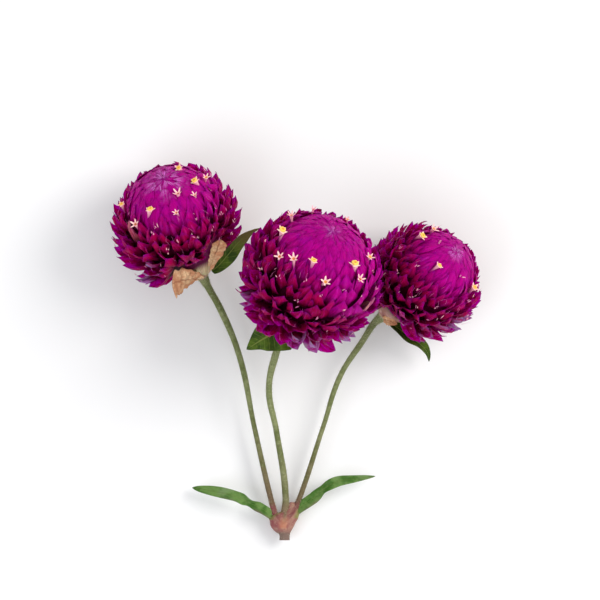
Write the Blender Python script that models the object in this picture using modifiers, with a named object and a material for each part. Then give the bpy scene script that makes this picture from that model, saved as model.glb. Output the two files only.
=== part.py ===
"""A cut stem of globe amaranth with three flower heads, lying on a flat surface.

Metres, +Z up, the surface at z = 0, +Y from the cut end towards the heads. Each head is a dome of keeled,
pointed bracts over a shallow cone, rooted in a smaller core and set out by the golden angle, with star
florets between them. The three stalks grow out of one swollen joint above the cut end. The left and right
heads and the joint touch the surface. The middle head is carried by its stalk, above and between them.
"""

import math
import random

import bmesh
import bpy
from mathutils import Matrix, Vector
from mathutils.bvhtree import BVHTree

MM = 0.001
GOLDEN_ANGLE = math.pi * (3.0 - math.sqrt(5.0))
GAP = 0.3 * MM  # clearance between pieces that touch

# Heads: centre of the ball, the way its apex points, the radius over the bract tips, the polar angle of
# the lowest tips, the number of bracts, and the seed of the small differences
HEADS = {
    "left": dict(
        centre=Vector((-23.9, 24.7, 13.05)) * MM,
        azimuth=math.radians(117),
        elevation=math.radians(25),
        radius=13.8 * MM,
        lowest=math.radians(134),
        bracts=82,
        seed=11,
    ),
    "middle": dict(
        centre=Vector((2.7, 14.0, 25.0)) * MM,
        azimuth=math.radians(64),
        elevation=math.radians(42),
        radius=15.1 * MM,
        lowest=math.radians(130),
        bracts=95,
        seed=5,
    ),
    "right": dict(
        centre=Vector((25.0, 13.5, 11.95)) * MM,
        azimuth=math.radians(41),
        elevation=math.radians(28),
        radius=12.7 * MM,
        lowest=math.radians(126),
        bracts=74,
        seed=23,
    ),
}

# Open florets: how far each stands from its head's centre as seen from above, in millimetres
FLORETS = {
    "left": ((0.5, 11.7), (3.7, 9.1), (5.6, 9.9), (0.3, 6.5), (3.9, 6.4), (-5.7, 3.3), (0.3, 2.9),
             (-8.5, 0.3), (-11.1, 4.5)),
    "middle": ((-3.5, 12.7), (-5.3, 9.5), (-6.3, 4.9), (-3.1, 3.9), (0.9, 3.9), (9.1, 2.9), (11.9, 4.7),
               (2.9, -0.3), (10.1, 0.0), (0.7, 14.1), (7.7, 12.3)),
    "right": ((0.1, 9.6), (2.5, 10.7), (3.3, 3.5), (7.5, 1.1), (10.7, -0.9), (9.2, -3.9), (-4.9, 1.9)),
}
UNSEEN_FLORETS = 12  # sites tried for the florets of a head's underside

# Shape of a head, as shares of its radius
DOME = 0.95  # height of the apex over the centre
CORE = 0.74
CORE_APEX = 0.84  # the core swells towards the apex, where the bracts are short
CORE_SWELL = math.radians(70)  # polar angle at which it ends
CONE_START = math.radians(100)  # polar angle where the core's ball runs into the cone
CONE_FOOT = 0.17  # radius of the core at its foot
BASE_DEPTH = 0.86  # depth of the foot under the centre
ROOT_DEPTH = 0.80  # where bracts are rooted, as a share of the way from the centre to the core's surface
CORE_SEGMENTS = 14
CORE_RINGS = 10

# Bract sites
APEX_CROWDING = 0.72  # below 1 the sites stand closer at the apex
APEX_OVERLAP = math.radians(13)  # how far the topmost bracts reach over the apex
OVERLAP_END = 0.35  # share of the way down at which that ends
APEX_LAG = math.radians(30)  # polar angle from a tip back to its root, at the apex and lowest down
LOW_LAG = math.radians(42)
LOWEST_ROOT = math.radians(168)
APEX_LIFT = math.radians(12)  # angle of a tip off the ball's surface, at the apex and lowest down
LOW_LIFT = math.radians(44)

# Bract form
BRACT_WIDTH = 1.10  # of the distance between neighbours, lowest down
APEX_SPREAD = 0.60  # how much wider than that the bracts are at the apex
BRACT_FOLD = 0.50  # how far the edges fold back, as a share of the half width
BRACT_THICK = 0.75 * MM
BRACT_BOW = 0.55  # where the curve's middle handle lies, as a share of the length back from the tip
BRACT_STATIONS = ((0.0, 0.45), (0.42, 0.95), (0.72, 0.82))  # share of length, share of half width
TIP_JITTER = 0.03
SITE_JITTER = math.radians(2.5)
ROLL_JITTER = math.radians(10)
SHORTEN = 0.95  # step by which a bract that meets a neighbour is shortened

# Florets
FLORET_REACH = 0.95  # of the head's radius
FLORET_STAR = 1.25 * MM
FLORET_NOTCH = 0.45 * MM
FLORET_TUBE = 0.38 * MM
FLORET_LENGTH = 3.6 * MM
FLORET_BAND = (math.radians(30), math.radians(88))

# Stalks: centre line in millimetres from inside the joint towards the head, and radius
STALKS = {
    "left": (
        ((-4.1, -33.4, 2.7), 1.15),
        ((-5.2, -29.8, 2.9), 0.62),
        ((-8.5, -15.8, 3.8), 0.56),
        ((-11.6, -0.8, 5.0), 0.66),
        ((-15.5, 8.6, 6.2), 0.80),
    ),
    "middle": (
        ((-2.4, -33.4, 2.8), 1.25),
        ((-2.2, -29.8, 3.3), 0.70),
        ((-4.0, -16.4, 6.2), 0.58),
        ((-5.5, -8.0, 9.0), 0.62),
        ((-4.3, -1.4, 12.2), 0.78),
    ),
    "right": (
        ((-0.9, -33.4, 2.7), 1.15),
        ((0.5, -29.8, 2.9), 0.60),
        ((5.1, -15.6, 3.5), 0.54),
        ((8.8, -5.0, 4.2), 0.60),
        ((13.3, 1.8, 4.9), 0.76),
    ),
}
NECK_LENGTH = 3.0 * MM
NECK_RADIUS = 1.5 * MM
STALK_TOP_RADIUS = 0.88 * MM

# The swollen joint and the stub below it, from the cut end upwards, in millimetres
JOINT = (
    ((-2.4, -38.1, 2.6), 1.05),
    ((-2.4, -36.9, 2.6), 1.15),
    ((-2.5, -35.7, 2.7), 1.95),
    ((-2.6, -34.4, 2.4), 2.85),
    ((-2.5, -33.1, 2.4), 2.90),
    ((-2.4, -31.9, 2.8), 2.35),
    ((-2.3, -30.7, 3.0), 1.20),
)

LEAF_THICK = 0.65 * MM
LEAF_ROWS = 9
LEAF_COLUMNS = 2

# Leaves: midrib in millimetres, the way the blade faces, half width, width of its foot as a share of that,
# fold of the halves about the midrib, ripple of the edges in millimetres, turn from base to tip, a place
# along it where it rolls on its side, with the angle, where it is widest, and how full its tip stays
LEAVES = {
    "leaf_left_head": dict(
        line=((-16.3, 15.0, 7.4), (-14.7, 16.9, 8.1), (-13.4, 19.0, 9.2), (-11.9, 21.4, 10.4),
              (-9.9, 23.3, 11.2), (-7.4, 24.4, 11.8)),
        face=(0.3, -0.35, 0.9), half_width=1.8, foot=0.35, fold=0.45, ripple=0.2, turn=(0.3, -0.4),
        roll=(0.5, 0.0), widest=0.36, taper=1.5,
    ),
    "dry_scale_left_low": dict(
        line=((-20.2, 13.3, 9.4), (-21.4, 13.0, 11.6), (-23.2, 12.4, 13.2), (-25.3, 10.8, 14.0)),
        face=(-0.1, -0.6, 0.8), half_width=3.0, foot=0.3, fold=0.2, ripple=0.5, turn=(0.0, 0.2),
        roll=(0.5, 0.0), widest=0.5, taper=1.6,
    ),
    "dry_scale_left_side": dict(
        line=((-17.0, 13.9, 10.0), (-16.2, 16.2, 12.7), (-15.6, 18.8, 15.4), (-15.2, 21.3, 17.2)),
        face=(0.45, -0.3, 0.85), half_width=1.5, foot=0.4, fold=0.4, ripple=0.3, turn=(0.0, 0.2),
        roll=(0.5, 0.0), widest=0.36, taper=1.5,
    ),
    "leaf_middle_head": dict(
        line=((-3.1, 4.4, 16.9), (-5.0, 3.2, 17.4), (-6.9, 2.1, 17.2), (-8.5, 1.1, 16.3),
              (-10.0, 0.1, 15.2)),
        face=(-0.05, -0.15, 1.0), half_width=4.9, foot=0.75, fold=0.12, ripple=0.3, turn=(0.0, 0.1),
        roll=(0.5, 0.0), widest=0.22, taper=1.15,
    ),
    "leaf_middle_under": dict(
        line=((-0.4, 4.5, 14.5), (2.2, 5.3, 12.6), (5.0, 6.2, 11.0), (8.2, 7.4, 9.8)),
        face=(0.4, -0.3, -0.85), half_width=2.6, foot=0.4, fold=0.2, ripple=0.2, turn=(0.0, 0.2),
        roll=(0.5, 0.0), widest=0.36, taper=1.5,
    ),
    "leaf_right_head": dict(
        line=((18.5, 4.8, 6.4), (20.6, 4.0, 6.4), (22.7, 2.5, 6.3), (24.8, 1.0, 6.0), (26.2, -0.6, 5.4),
              (26.6, -2.4, 4.6)),
        face=(0.35, 0.45, 0.8), half_width=1.7, foot=0.4, fold=0.5, ripple=0.15, turn=(0.0, 0.0),
        roll=(0.5, 0.0), widest=0.36, taper=1.5,
    ),
    "dry_scale_right": dict(
        line=((17.3, 4.8, 8.3), (18.4, 4.5, 9.3), (19.5, 3.7, 9.7)),
        face=(0.1, -0.5, 0.85), half_width=1.0, foot=0.5, fold=0.3, ripple=0.1, turn=(0.0, 0.0),
        roll=(0.5, 0.0), widest=0.36, taper=1.5,
    ),
    "leaf_joint_left": dict(
        line=((-6.1, -32.2, 3.2), (-7.8, -31.4, 3.8), (-10.3, -30.2, 4.2), (-13.0, -29.2, 4.1),
              (-16.8, -28.4, 3.4), (-21.0, -27.7, 2.4)),
        face=(0.0, 0.3, 0.95), half_width=0.98, foot=0.75, fold=0.2, ripple=0.1, turn=(0.0, 0.0),
        roll=(0.30, 1.1), widest=0.68, taper=2.2,
    ),
    "leaf_joint_right": dict(
        line=((1.7, -30.9, 3.2), (3.7, -29.6, 3.9), (5.5, -28.0, 4.3), (8.2, -26.5, 4.3),
              (12.0, -25.9, 3.6), (15.9, -25.4, 2.6)),
        face=(0.0, 0.3, 0.95), half_width=1.0, foot=0.85, fold=0.2, ripple=0.1, turn=(0.0, 0.0),
        roll=(0.28, 0.5), widest=0.42, taper=1.4,
    ),
}
ROLL_REACH = 0.10  # share of the length over which a leaf rolls

COLOURS = {
    "bracts": ((0.36, 0.0, 0.22), 0.55),
    "stalk": ((0.20, 0.23, 0.11), 0.7),
    "green_leaf": ((0.09, 0.19, 0.03), 0.6),
    "dry_scale": ((0.52, 0.33, 0.17), 0.8),
}


def clear_scene():
    for obj in list(bpy.data.objects):
        bpy.data.objects.remove(obj)


def material(name):
    """A plain Principled finish for one kind of piece."""
    found = bpy.data.materials.get(name)
    if found:
        return found
    colour, roughness = COLOURS[name]
    made = bpy.data.materials.new(name)
    made.use_nodes = True
    shader = made.node_tree.nodes["Principled BSDF"]
    shader.inputs["Base Color"].default_value = (*colour, 1.0)
    shader.inputs["Roughness"].default_value = roughness
    return made


def add_object(name, mesh, collection, finish):
    obj = bpy.data.objects.new(name, mesh)
    collection.objects.link(obj)
    mesh.materials.append(material(finish))
    return obj


def mesh_from(name, form):
    mesh = bpy.data.meshes.new(name)
    form.to_mesh(mesh)
    form.free()
    return mesh


def apply_modifiers(obj):
    bpy.context.view_layer.update()
    graph = bpy.context.evaluated_depsgraph_get()
    solid = bpy.data.meshes.new_from_object(obj.evaluated_get(graph))
    obj.modifiers.clear()
    obj.data = solid


def keep_one_body(obj):
    """Fills the hollows that joining sealed and drops loose scraps: only the largest shell stays."""
    form = bmesh.new()
    form.from_mesh(obj.data)
    left = set(form.verts)
    shells = []
    while left:
        reached = [left.pop()]
        shell = []
        while reached:
            vertex = reached.pop()
            shell.append(vertex)
            for edge in vertex.link_edges:
                other = edge.other_vert(vertex)
                if other in left:
                    left.remove(other)
                    reached.append(other)
        shells.append(shell)
    shells.sort(key=len)
    for shell in shells[:-1]:
        bmesh.ops.delete(form, geom=shell, context="VERTS")
    form.to_mesh(obj.data)
    form.free()


def join_all(base, pieces):
    """Joins the pieces to the base in one solid and removes them."""
    group = bpy.data.collections.new(base.name + "_pieces")
    bpy.context.scene.collection.children.link(group)
    for piece in pieces:
        for holder in list(piece.users_collection):
            holder.objects.unlink(piece)
        group.objects.link(piece)
    union = base.modifiers.new("union", "BOOLEAN")
    union.operation = "UNION"
    union.operand_type = "COLLECTION"
    union.collection = group
    union.solver = "MANIFOLD"
    apply_modifiers(base)
    for piece in pieces:
        bpy.data.objects.remove(piece)
    bpy.data.collections.remove(group)
    keep_one_body(base)


def trim_below(obj, cutters):
    """Takes off what would reach under the surface, which leaves small flats to rest on."""
    size = 0.2
    form = bmesh.new()
    bmesh.ops.create_cube(form, size=size)
    block = add_object("under_surface", mesh_from("under_surface", form), cutters, "bracts")
    block.location.z = -size / 2.0
    block.hide_render = True
    block.display_type = "WIRE"
    cut = obj.modifiers.new("surface", "BOOLEAN")
    cut.operation = "DIFFERENCE"
    cut.object = block
    cut.solver = "MANIFOLD"
    apply_modifiers(obj)
    bpy.data.objects.remove(block)
    keep_one_body(obj)


def loft(form, rings, tip):
    """Adds a closed solid through rings of equal count, capped at the first and ending in a point."""
    rows = [[form.verts.new(point) for point in ring] for ring in rings]
    count = len(rows[0])
    for low, high in zip(rows, rows[1:]):
        for i in range(count):
            j = (i + 1) % count
            form.faces.new((low[i], low[j], high[j], high[i]))
    form.faces.new(list(reversed(rows[0])))
    point = form.verts.new(tip)
    for i in range(count):
        form.faces.new((rows[-1][i], rows[-1][(i + 1) % count], point))
    bmesh.ops.triangulate(form, faces=form.faces[:])
    bmesh.ops.recalc_face_normals(form, faces=form.faces[:])


def mix(low, high, share):
    return low + (high - low) * share


def head_axis(head):
    flat = math.cos(head["elevation"])
    return Vector(
        (flat * math.cos(head["azimuth"]), flat * math.sin(head["azimuth"]), math.sin(head["elevation"]))
    )


def head_frame(head):
    """The head's own axes in the world: its centre at the origin, +Z to the apex."""
    turn = head_axis(head).to_track_quat("Z", "Y").to_matrix().to_4x4()
    return Matrix.Translation(head["centre"]) @ turn


def head_foot(head):
    """The middle of the head's underside."""
    return head["centre"] - head_axis(head) * (BASE_DEPTH * head["radius"])


def polar_point(radius, polar, azimuth=0.0):
    """A point at a distance and polar angle from the head's centre, on the dome where it is above it."""
    height = radius * math.cos(polar)
    if height > 0.0:
        height *= DOME
    across = radius * math.sin(polar)
    return Vector((across * math.cos(azimuth), across * math.sin(azimuth), height))


def core_share(polar):
    """The core's distance from the centre: a ball above, below it a cone down to a flat foot."""
    if polar <= CONE_START:
        return CORE + (CORE_APEX - CORE) * max(0.0, 1.0 - polar / CORE_SWELL)
    start = (CORE * math.sin(CONE_START), CORE * math.cos(CONE_START))
    run = (CONE_FOOT - start[0], -BASE_DEPTH - start[1])
    ray = (math.sin(polar), math.cos(polar))
    cone = (start[0] * run[1] - start[1] * run[0]) / (ray[0] * run[1] - ray[1] * run[0])
    return min(cone, -BASE_DEPTH / ray[1]) if ray[1] < -0.5 else cone


def core_mesh(head):
    form = bmesh.new()
    bmesh.ops.create_uvsphere(form, u_segments=CORE_SEGMENTS, v_segments=CORE_RINGS, radius=1.0)
    for vertex in form.verts:
        spot = vertex.co.normalized()
        polar = math.acos(max(-1.0, min(1.0, spot.z)))
        vertex.co = spot * (core_share(polar) * head["radius"])
        if vertex.co.z > 0.0:
            vertex.co.z *= DOME
    bmesh.ops.triangulate(form, faces=form.faces[:])
    return mesh_from("core", form)


def bract_sites(head):
    """Polar angle and azimuth of each bract's tip and the distance to its neighbours, apex first.

    The share of the ball's area above a site grows as a power of its number, so that sites crowd at the
    apex."""
    area_end = (1.0 - math.cos(head["lowest"])) / 2.0
    total = head["bracts"] + 1.0
    sites = []
    for k in range(head["bracts"]):
        share = (k + 1.0) / total
        area = area_end * share ** (1.0 / APEX_CROWDING)
        polar = math.acos(1.0 - 2.0 * area)
        per_bract = area / ((k + 1.0) * APEX_CROWDING)
        spacing = head["radius"] * math.sqrt(4.0 * math.pi * per_bract)
        sites.append((polar, k * GOLDEN_ANGLE, spacing))
    return sites


def bract_form(site, head, draw, reach):
    """One keeled bract in the head's own axes, as a loft of three-sided rings: two edges and the keel.

    Its midline is a quadratic curve from a root in the core to a tip on the ball, and it arrives there at
    the tip's lift off the ball's surface."""
    polar, azimuth, spacing = site
    low = polar / head["lowest"]
    polar -= APEX_OVERLAP * max(0.0, 1.0 - low / OVERLAP_END)
    azimuth += draw.uniform(-SITE_JITTER, SITE_JITTER)
    roll = draw.uniform(-ROLL_JITTER, ROLL_JITTER)
    spread = BRACT_WIDTH * (1.0 + APEX_SPREAD * (1.0 - low) ** 3)
    half = spread * spacing / 2.0 * draw.uniform(0.94, 1.08)
    radius = head["radius"] * (1.0 + draw.uniform(-TIP_JITTER, TIP_JITTER)) * reach
    back = min(polar + mix(APEX_LAG, LOW_LAG, low), LOWEST_ROOT)
    root = polar_point(ROOT_DEPTH * core_share(back) * head["radius"], back)
    tip = polar_point(radius, polar)
    heading = polar - math.pi / 2.0 + mix(APEX_LIFT, LOW_LIFT, low)
    arrival = Vector((math.sin(heading), 0.0, math.cos(heading)))
    handle = tip - arrival * ((tip - root).length * BRACT_BOW)
    side = Vector((0.0, 1.0, 0.0))
    rings = []
    for share, width in BRACT_STATIONS:
        rest = 1.0 - share
        centre = root * rest * rest + handle * (2.0 * share * rest) + tip * share * share
        run = ((handle - root) * rest + (tip - handle) * share).normalized()
        outer = side.cross(run)
        across = side * math.cos(roll) + outer * math.sin(roll)
        keel = outer * math.cos(roll) - side * math.sin(roll)
        wide = half * width
        edge = keel * (-BRACT_FOLD * wide)
        rings.append(
            [
                centre + edge - across * wide,
                centre + keel * (BRACT_THICK / 2.0),
                centre + edge + across * wide,
            ]
        )
    turn = Matrix.Rotation(azimuth, 3, "Z")
    form = bmesh.new()
    loft(form, [[turn @ point for point in ring] for ring in rings], turn @ tip)
    return form


def floret_form(top, centre):
    """A five-lobed star on a slender tube, standing between the bracts and facing away from the centre."""
    normal = (top - centre).normalized()
    side = normal.orthogonal().normalized()
    other = normal.cross(side)

    def ring(along, wide, narrow):
        spots = []
        for i in range(10):
            angle = math.tau * i / 10.0
            spoke = side * math.cos(angle) + other * math.sin(angle)
            spots.append(top + normal * along + spoke * (narrow if i % 2 else wide))
        return spots

    root = ring(-FLORET_LENGTH, FLORET_TUBE * 0.6, FLORET_TUBE * 0.6)
    throat = ring(-0.9 * MM, FLORET_TUBE, FLORET_TUBE)
    star = ring(0.0, FLORET_STAR, FLORET_NOTCH)
    form = bmesh.new()
    loft(form, [root, throat, star], top - normal * 0.25 * MM)
    return form


def floret_tops(name, frame):
    """Where the florets of a head open: those seen from above, and some under it by the golden angle."""
    head = HEADS[name]
    reach = FLORET_REACH * head["radius"]
    tops = []
    for x, y in FLORETS[name]:
        height = math.sqrt(max(reach * reach - (x * x + y * y) * MM * MM, 0.0))
        offset = Vector((x * MM, y * MM, height))
        tops.append(head["centre"] + offset.normalized() * reach)
    low, high = FLORET_BAND
    for k in range(UNSEEN_FLORETS):
        top = frame @ polar_point(reach, mix(low, high, (k * 0.618) % 1.0), k * GOLDEN_ANGLE)
        if top.z < head["centre"].z - 0.2 * reach and top.z > 2.0 * MM:
            tops.append(top)
    return tops


class Neighbour:
    """A piece that bracts keep clear of, and must not lie over where it shows outside them."""

    def __init__(self, obj, outermost):
        mesh = obj.data
        corners = [obj.matrix_world @ vertex.co for vertex in mesh.vertices]
        self.tree = BVHTree.FromPolygons(corners, [list(face.vertices) for face in mesh.polygons])
        self.outermost = outermost

    def meets(self, form):
        if self.tree.overlap(BVHTree.FromBMesh(form)):
            return True
        down = Vector((0.0, 0.0, -1.0))
        for vertex in form.verts:
            if self.tree.find_nearest(vertex.co, GAP)[0] is not None:
                return True
            if self.outermost and self.tree.ray_cast(vertex.co, down)[0] is not None:
                return True
        return False


def meets_ball(form, ball):
    centre, radius = ball
    return any((vertex.co - centre).length < radius for vertex in form.verts)


def make_head(name, collection, neighbours, balls):
    """One flower head: core, bracts and florets in one solid, trimmed where it lies on the surface.

    A bract that would meet a neighbouring piece is shortened step by step until it is clear, or left out
    once it would no longer stand out of the core."""
    head = HEADS[name]
    draw = random.Random(head["seed"])
    frame = head_frame(head)
    core = core_mesh(head)
    core.transform(frame)
    base = add_object("head_" + name, core, collection, "bracts")
    pieces = []
    for site in bract_sites(head):
        state = draw.getstate()
        reach = 1.0
        while reach > CORE:
            draw.setstate(state)
            form = bract_form(site, head, draw, reach)
            form.transform(frame)
            if not (any(n.meets(form) for n in neighbours) or any(meets_ball(form, b) for b in balls)):
                pieces.append(add_object("bract", mesh_from("bract", form), collection, "bracts"))
                break
            form.free()
            reach *= SHORTEN
    for top in floret_tops(name, frame):
        form = floret_form(top, head["centre"])
        if any(n.meets(form) for n in neighbours) or any(meets_ball(form, b) for b in balls):
            form.free()
            continue
        pieces.append(add_object("floret", mesh_from("floret", form), collection, "bracts"))
    join_all(base, pieces)
    return base


def tube(name, points, collection):
    """A round tube of changing radius along a smooth line, as a mesh with welded caps."""
    curve = bpy.data.curves.new(name, "CURVE")
    curve.dimensions = "3D"
    curve.bevel_depth = 1.0
    curve.bevel_resolution = 1
    curve.resolution_u = 4
    curve.use_fill_caps = True
    spline = curve.splines.new("BEZIER")
    spline.bezier_points.add(len(points) - 1)
    for point, (place, radius) in zip(spline.bezier_points, points):
        point.co = place
        point.radius = radius
        point.handle_left_type = "AUTO"
        point.handle_right_type = "AUTO"
    guide = bpy.data.objects.new(name + "_line", curve)
    collection.objects.link(guide)
    bpy.context.view_layer.update()
    graph = bpy.context.evaluated_depsgraph_get()
    mesh = bpy.data.meshes.new_from_object(guide.evaluated_get(graph))
    bpy.data.objects.remove(guide)
    form = bmesh.new()
    form.from_mesh(mesh)
    bmesh.ops.remove_doubles(form, verts=form.verts[:], dist=0.00001)
    bmesh.ops.recalc_face_normals(form, faces=form.faces[:])
    form.to_mesh(mesh)
    form.free()
    mesh.materials.clear()
    return add_object(name, mesh, collection, "stalk")


def in_metres(points):
    return [(Vector(place) * MM, radius * MM) for place, radius in points]


def stalk_points(name):
    """The stalk's line from the joint, then along the head's axis through the neck to its foot."""
    head = HEADS[name]
    axis = head_axis(head)
    top = head_foot(head) - axis * GAP
    line = in_metres(STALKS[name])
    line.append((top - axis * NECK_LENGTH, STALK_TOP_RADIUS))
    line.append((top - axis * NECK_LENGTH * 0.35, NECK_RADIUS * 0.75))
    line.append((top, NECK_RADIUS))
    return line


def make_stem(collection):
    """The three stalks and the joint that they grow from, one solid down to the cut end."""
    stem = tube("stem", in_metres(JOINT), collection)
    pieces = [tube("stalk_" + name, stalk_points(name), collection) for name in HEADS]
    join_all(stem, pieces)
    return stem


def line_point(line, share):
    """A point on the smooth line through the given points (Catmull-Rom), and the way it runs there."""
    last = len(line) - 1
    place = min(share * last, last - 1e-6)
    i = int(place)
    t = place - i
    p0, p1, p2, p3 = (line[max(0, min(last, i + step))] for step in (-1, 0, 1, 2))
    square = 2.0 * p0 - 5.0 * p1 + 4.0 * p2 - p3
    cube = 3.0 * p1 - p0 - 3.0 * p2 + p3
    spot = 0.5 * (2.0 * p1 + (p2 - p0) * t + square * t * t + cube * t * t * t)
    run = 0.5 * ((p2 - p0) + 2.0 * square * t + 3.0 * cube * t * t)
    return spot, run.normalized()


def leaf_width(along, shape):
    """Share of the full half width: it rises from the foot's, and falls in a curve to the tip."""
    foot, widest = shape["foot"], shape["widest"]
    rise = foot + (1.0 - foot) * math.sin(math.pi / 2.0 * min(1.0, along / widest))
    fall = max(0.0, (along - widest) / (1.0 - widest)) ** shape["taper"]
    return rise * (1.0 - fall)


def make_leaf(name, collection, finish, shape):
    """A leaf as one folded blade along its midrib, a grid with rows along it and columns across."""
    line = [Vector(point) * MM for point in shape["line"]]
    face = Vector(shape["face"]).normalized()
    place, rolled = shape["roll"]
    form = bmesh.new()
    bmesh.ops.create_grid(form, x_segments=LEAF_COLUMNS, y_segments=LEAF_ROWS, size=1.0)
    for vertex in form.verts:
        along = (vertex.co.y + 1.0) / 2.0
        aside = vertex.co.x
        spot, run = line_point(line, along)
        flat = run.cross(face).normalized()
        normal = flat.cross(run)
        turn = mix(*shape["turn"], along) + rolled * math.exp(-(((along - place) / ROLL_REACH) ** 2))
        across = flat * math.cos(turn) + normal * math.sin(turn)
        up = normal * math.cos(turn) - flat * math.sin(turn)
        wide = shape["half_width"] * MM * leaf_width(along, shape)
        ripple = shape["ripple"] * MM * math.sin(along * 9.0 + 1.3) * aside * (1.0 - along)
        vertex.co = spot + across * (wide * aside) + up * (shape["fold"] * wide * abs(aside) + ripple)
    bmesh.ops.remove_doubles(form, verts=form.verts[:], dist=0.00002)
    bmesh.ops.triangulate(form, faces=form.faces[:], quad_method="FIXED")
    leaf = add_object(name, mesh_from(name, form), collection, finish)
    shell = leaf.modifiers.new("thickness", "SOLIDIFY")
    shell.thickness = LEAF_THICK
    shell.offset = 0.0
    apply_modifiers(leaf)
    return leaf


def main():
    clear_scene()
    parts = bpy.data.collections.new("globe_amaranth")
    cutters = bpy.data.collections.new("cutters")
    for collection in (parts, cutters):
        bpy.context.scene.collection.children.link(collection)
    stem = make_stem(parts)
    kept_clear = [Neighbour(stem, False)]
    for name, shape in LEAVES.items():
        dry = name.startswith("dry")
        leaf = make_leaf(name, parts, "dry_scale" if dry else "green_leaf", shape)
        kept_clear.append(Neighbour(leaf, dry))
    middle = HEADS["middle"]
    ball = (middle["centre"], middle["radius"] * (1.0 + TIP_JITTER) + GAP)
    for name in HEADS:
        base = make_head(name, parts, kept_clear, [] if name == "middle" else [ball])
        trim_below(base, cutters)
    trim_below(stem, cutters)


main()
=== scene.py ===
"""Dresses a cut stem of globe amaranth: three magenta flower heads on downy stalks, leaves and dry scales.

The stem lies on a pale floor and the camera looks straight down on it. Every new piece is a surface worked
out with numpy: a function of two parameters on a grid, or a ring carried along a line.
"""

import math

import bmesh
import bpy
import numpy as np
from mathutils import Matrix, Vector


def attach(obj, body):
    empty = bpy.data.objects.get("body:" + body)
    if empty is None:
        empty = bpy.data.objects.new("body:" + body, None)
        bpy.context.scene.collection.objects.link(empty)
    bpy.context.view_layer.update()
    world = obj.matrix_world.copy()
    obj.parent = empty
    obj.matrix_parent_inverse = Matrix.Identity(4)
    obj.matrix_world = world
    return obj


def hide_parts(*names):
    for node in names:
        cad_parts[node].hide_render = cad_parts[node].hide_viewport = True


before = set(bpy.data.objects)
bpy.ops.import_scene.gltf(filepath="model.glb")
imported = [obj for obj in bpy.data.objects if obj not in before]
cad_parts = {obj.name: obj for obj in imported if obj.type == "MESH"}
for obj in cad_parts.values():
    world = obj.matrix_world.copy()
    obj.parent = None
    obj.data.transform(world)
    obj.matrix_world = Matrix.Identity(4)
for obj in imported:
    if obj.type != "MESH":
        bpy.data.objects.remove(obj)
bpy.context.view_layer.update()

MM = 0.001
GOLDEN_ANGLE = math.pi * (3.0 - math.sqrt(5.0))

# Heads: centre of the ball in millimetres, the way it stands on its stalk and the way the top of its dome
# leans over to, as azimuth and elevation in degrees; radius over the tips; the polar angles where the closed
# dome ends, where its lilac shimmer ends, between which the tips come off the ball, and of the lowest tips;
# how many sites carry a pair of bracts; how flat its calm side lies, how much painted light its east side
# takes, and how rosy its receptacle is; seed
HEADS = {
    "left": dict(
        centre=(-23.9, 24.7, 13.05), base=(117, 25), top=(106, 42), radius=13.8, dome=33, shimmer=23,
        lift=(14, 38), lowest=138, sites=172, calm=0.0, brighter=0.10, blush=0.0, seed=11,
    ),
    "middle": dict(
        centre=(2.7, 14.0, 25.0), base=(64, 42), top=(65, 43), radius=15.1, dome=27, shimmer=10,
        lift=(15, 36), lowest=134, sites=195, calm=0.55, brighter=0.28, blush=0.0, seed=5,
    ),
    "right": dict(
        centre=(25.0, 13.5, 11.95), base=(41, 28), top=(42, 39), radius=12.7, dome=26, shimmer=13,
        lift=(12, 33), lowest=132, sites=158, calm=0.0, brighter=0.06, blush=0.85, seed=23,
    ),
}

# The polar angles between which the lean of the dome eases to none
TURN_END = (math.radians(40), math.radians(120))

# Open florets: offset from the head's centre as seen from above in millimetres, how yellow the cup is, and
# size; then how many sites are tried on a head's underside, between which polar angles, and their least
# height above the floor; then the florets' place as a share of the radius, and points round one
FLORETS = {
    "left": ((0.5, 11.7, 0.8, 0.9), (3.7, 9.1, 1.0, 1.0), (5.6, 9.9, 0.3, 0.8), (0.3, 6.5, 0.0, 0.95),
             (3.9, 6.4, 0.0, 0.65), (-5.7, 3.3, 1.0, 1.0), (0.3, 2.9, 0.1, 0.7), (-8.5, 0.3, 0.0, 0.95),
             (-11.1, 4.5, 0.8, 0.8)),
    "middle": ((-3.5, 12.7, 0.0, 0.9), (-5.3, 9.5, 1.0, 1.1), (-6.3, 4.9, 0.0, 0.95), (-3.1, 3.9, 0.1, 1.0),
               (0.9, 3.9, 1.0, 1.0), (9.1, 2.9, 1.0, 1.15), (11.9, 4.7, 0.4, 0.9), (2.9, -0.3, 0.2, 1.0),
               (10.1, 0.0, 0.0, 0.95), (0.7, 13.9, 0.0, 0.6), (7.7, 12.1, 0.3, 0.6)),
    "right": ((0.1, 9.6, 1.0, 1.0), (2.5, 10.7, 0.2, 0.9), (3.3, 3.5, 0.9, 0.85), (10.7, -0.9, 0.7, 1.0)),
}
UNSEEN_FLORETS = 14
UNSEEN_POLAR = (math.radians(30), math.radians(88))
UNSEEN_HEIGHT = 2.0
FLORET_REACH = 0.975
FLORET_RING = 40

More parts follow.
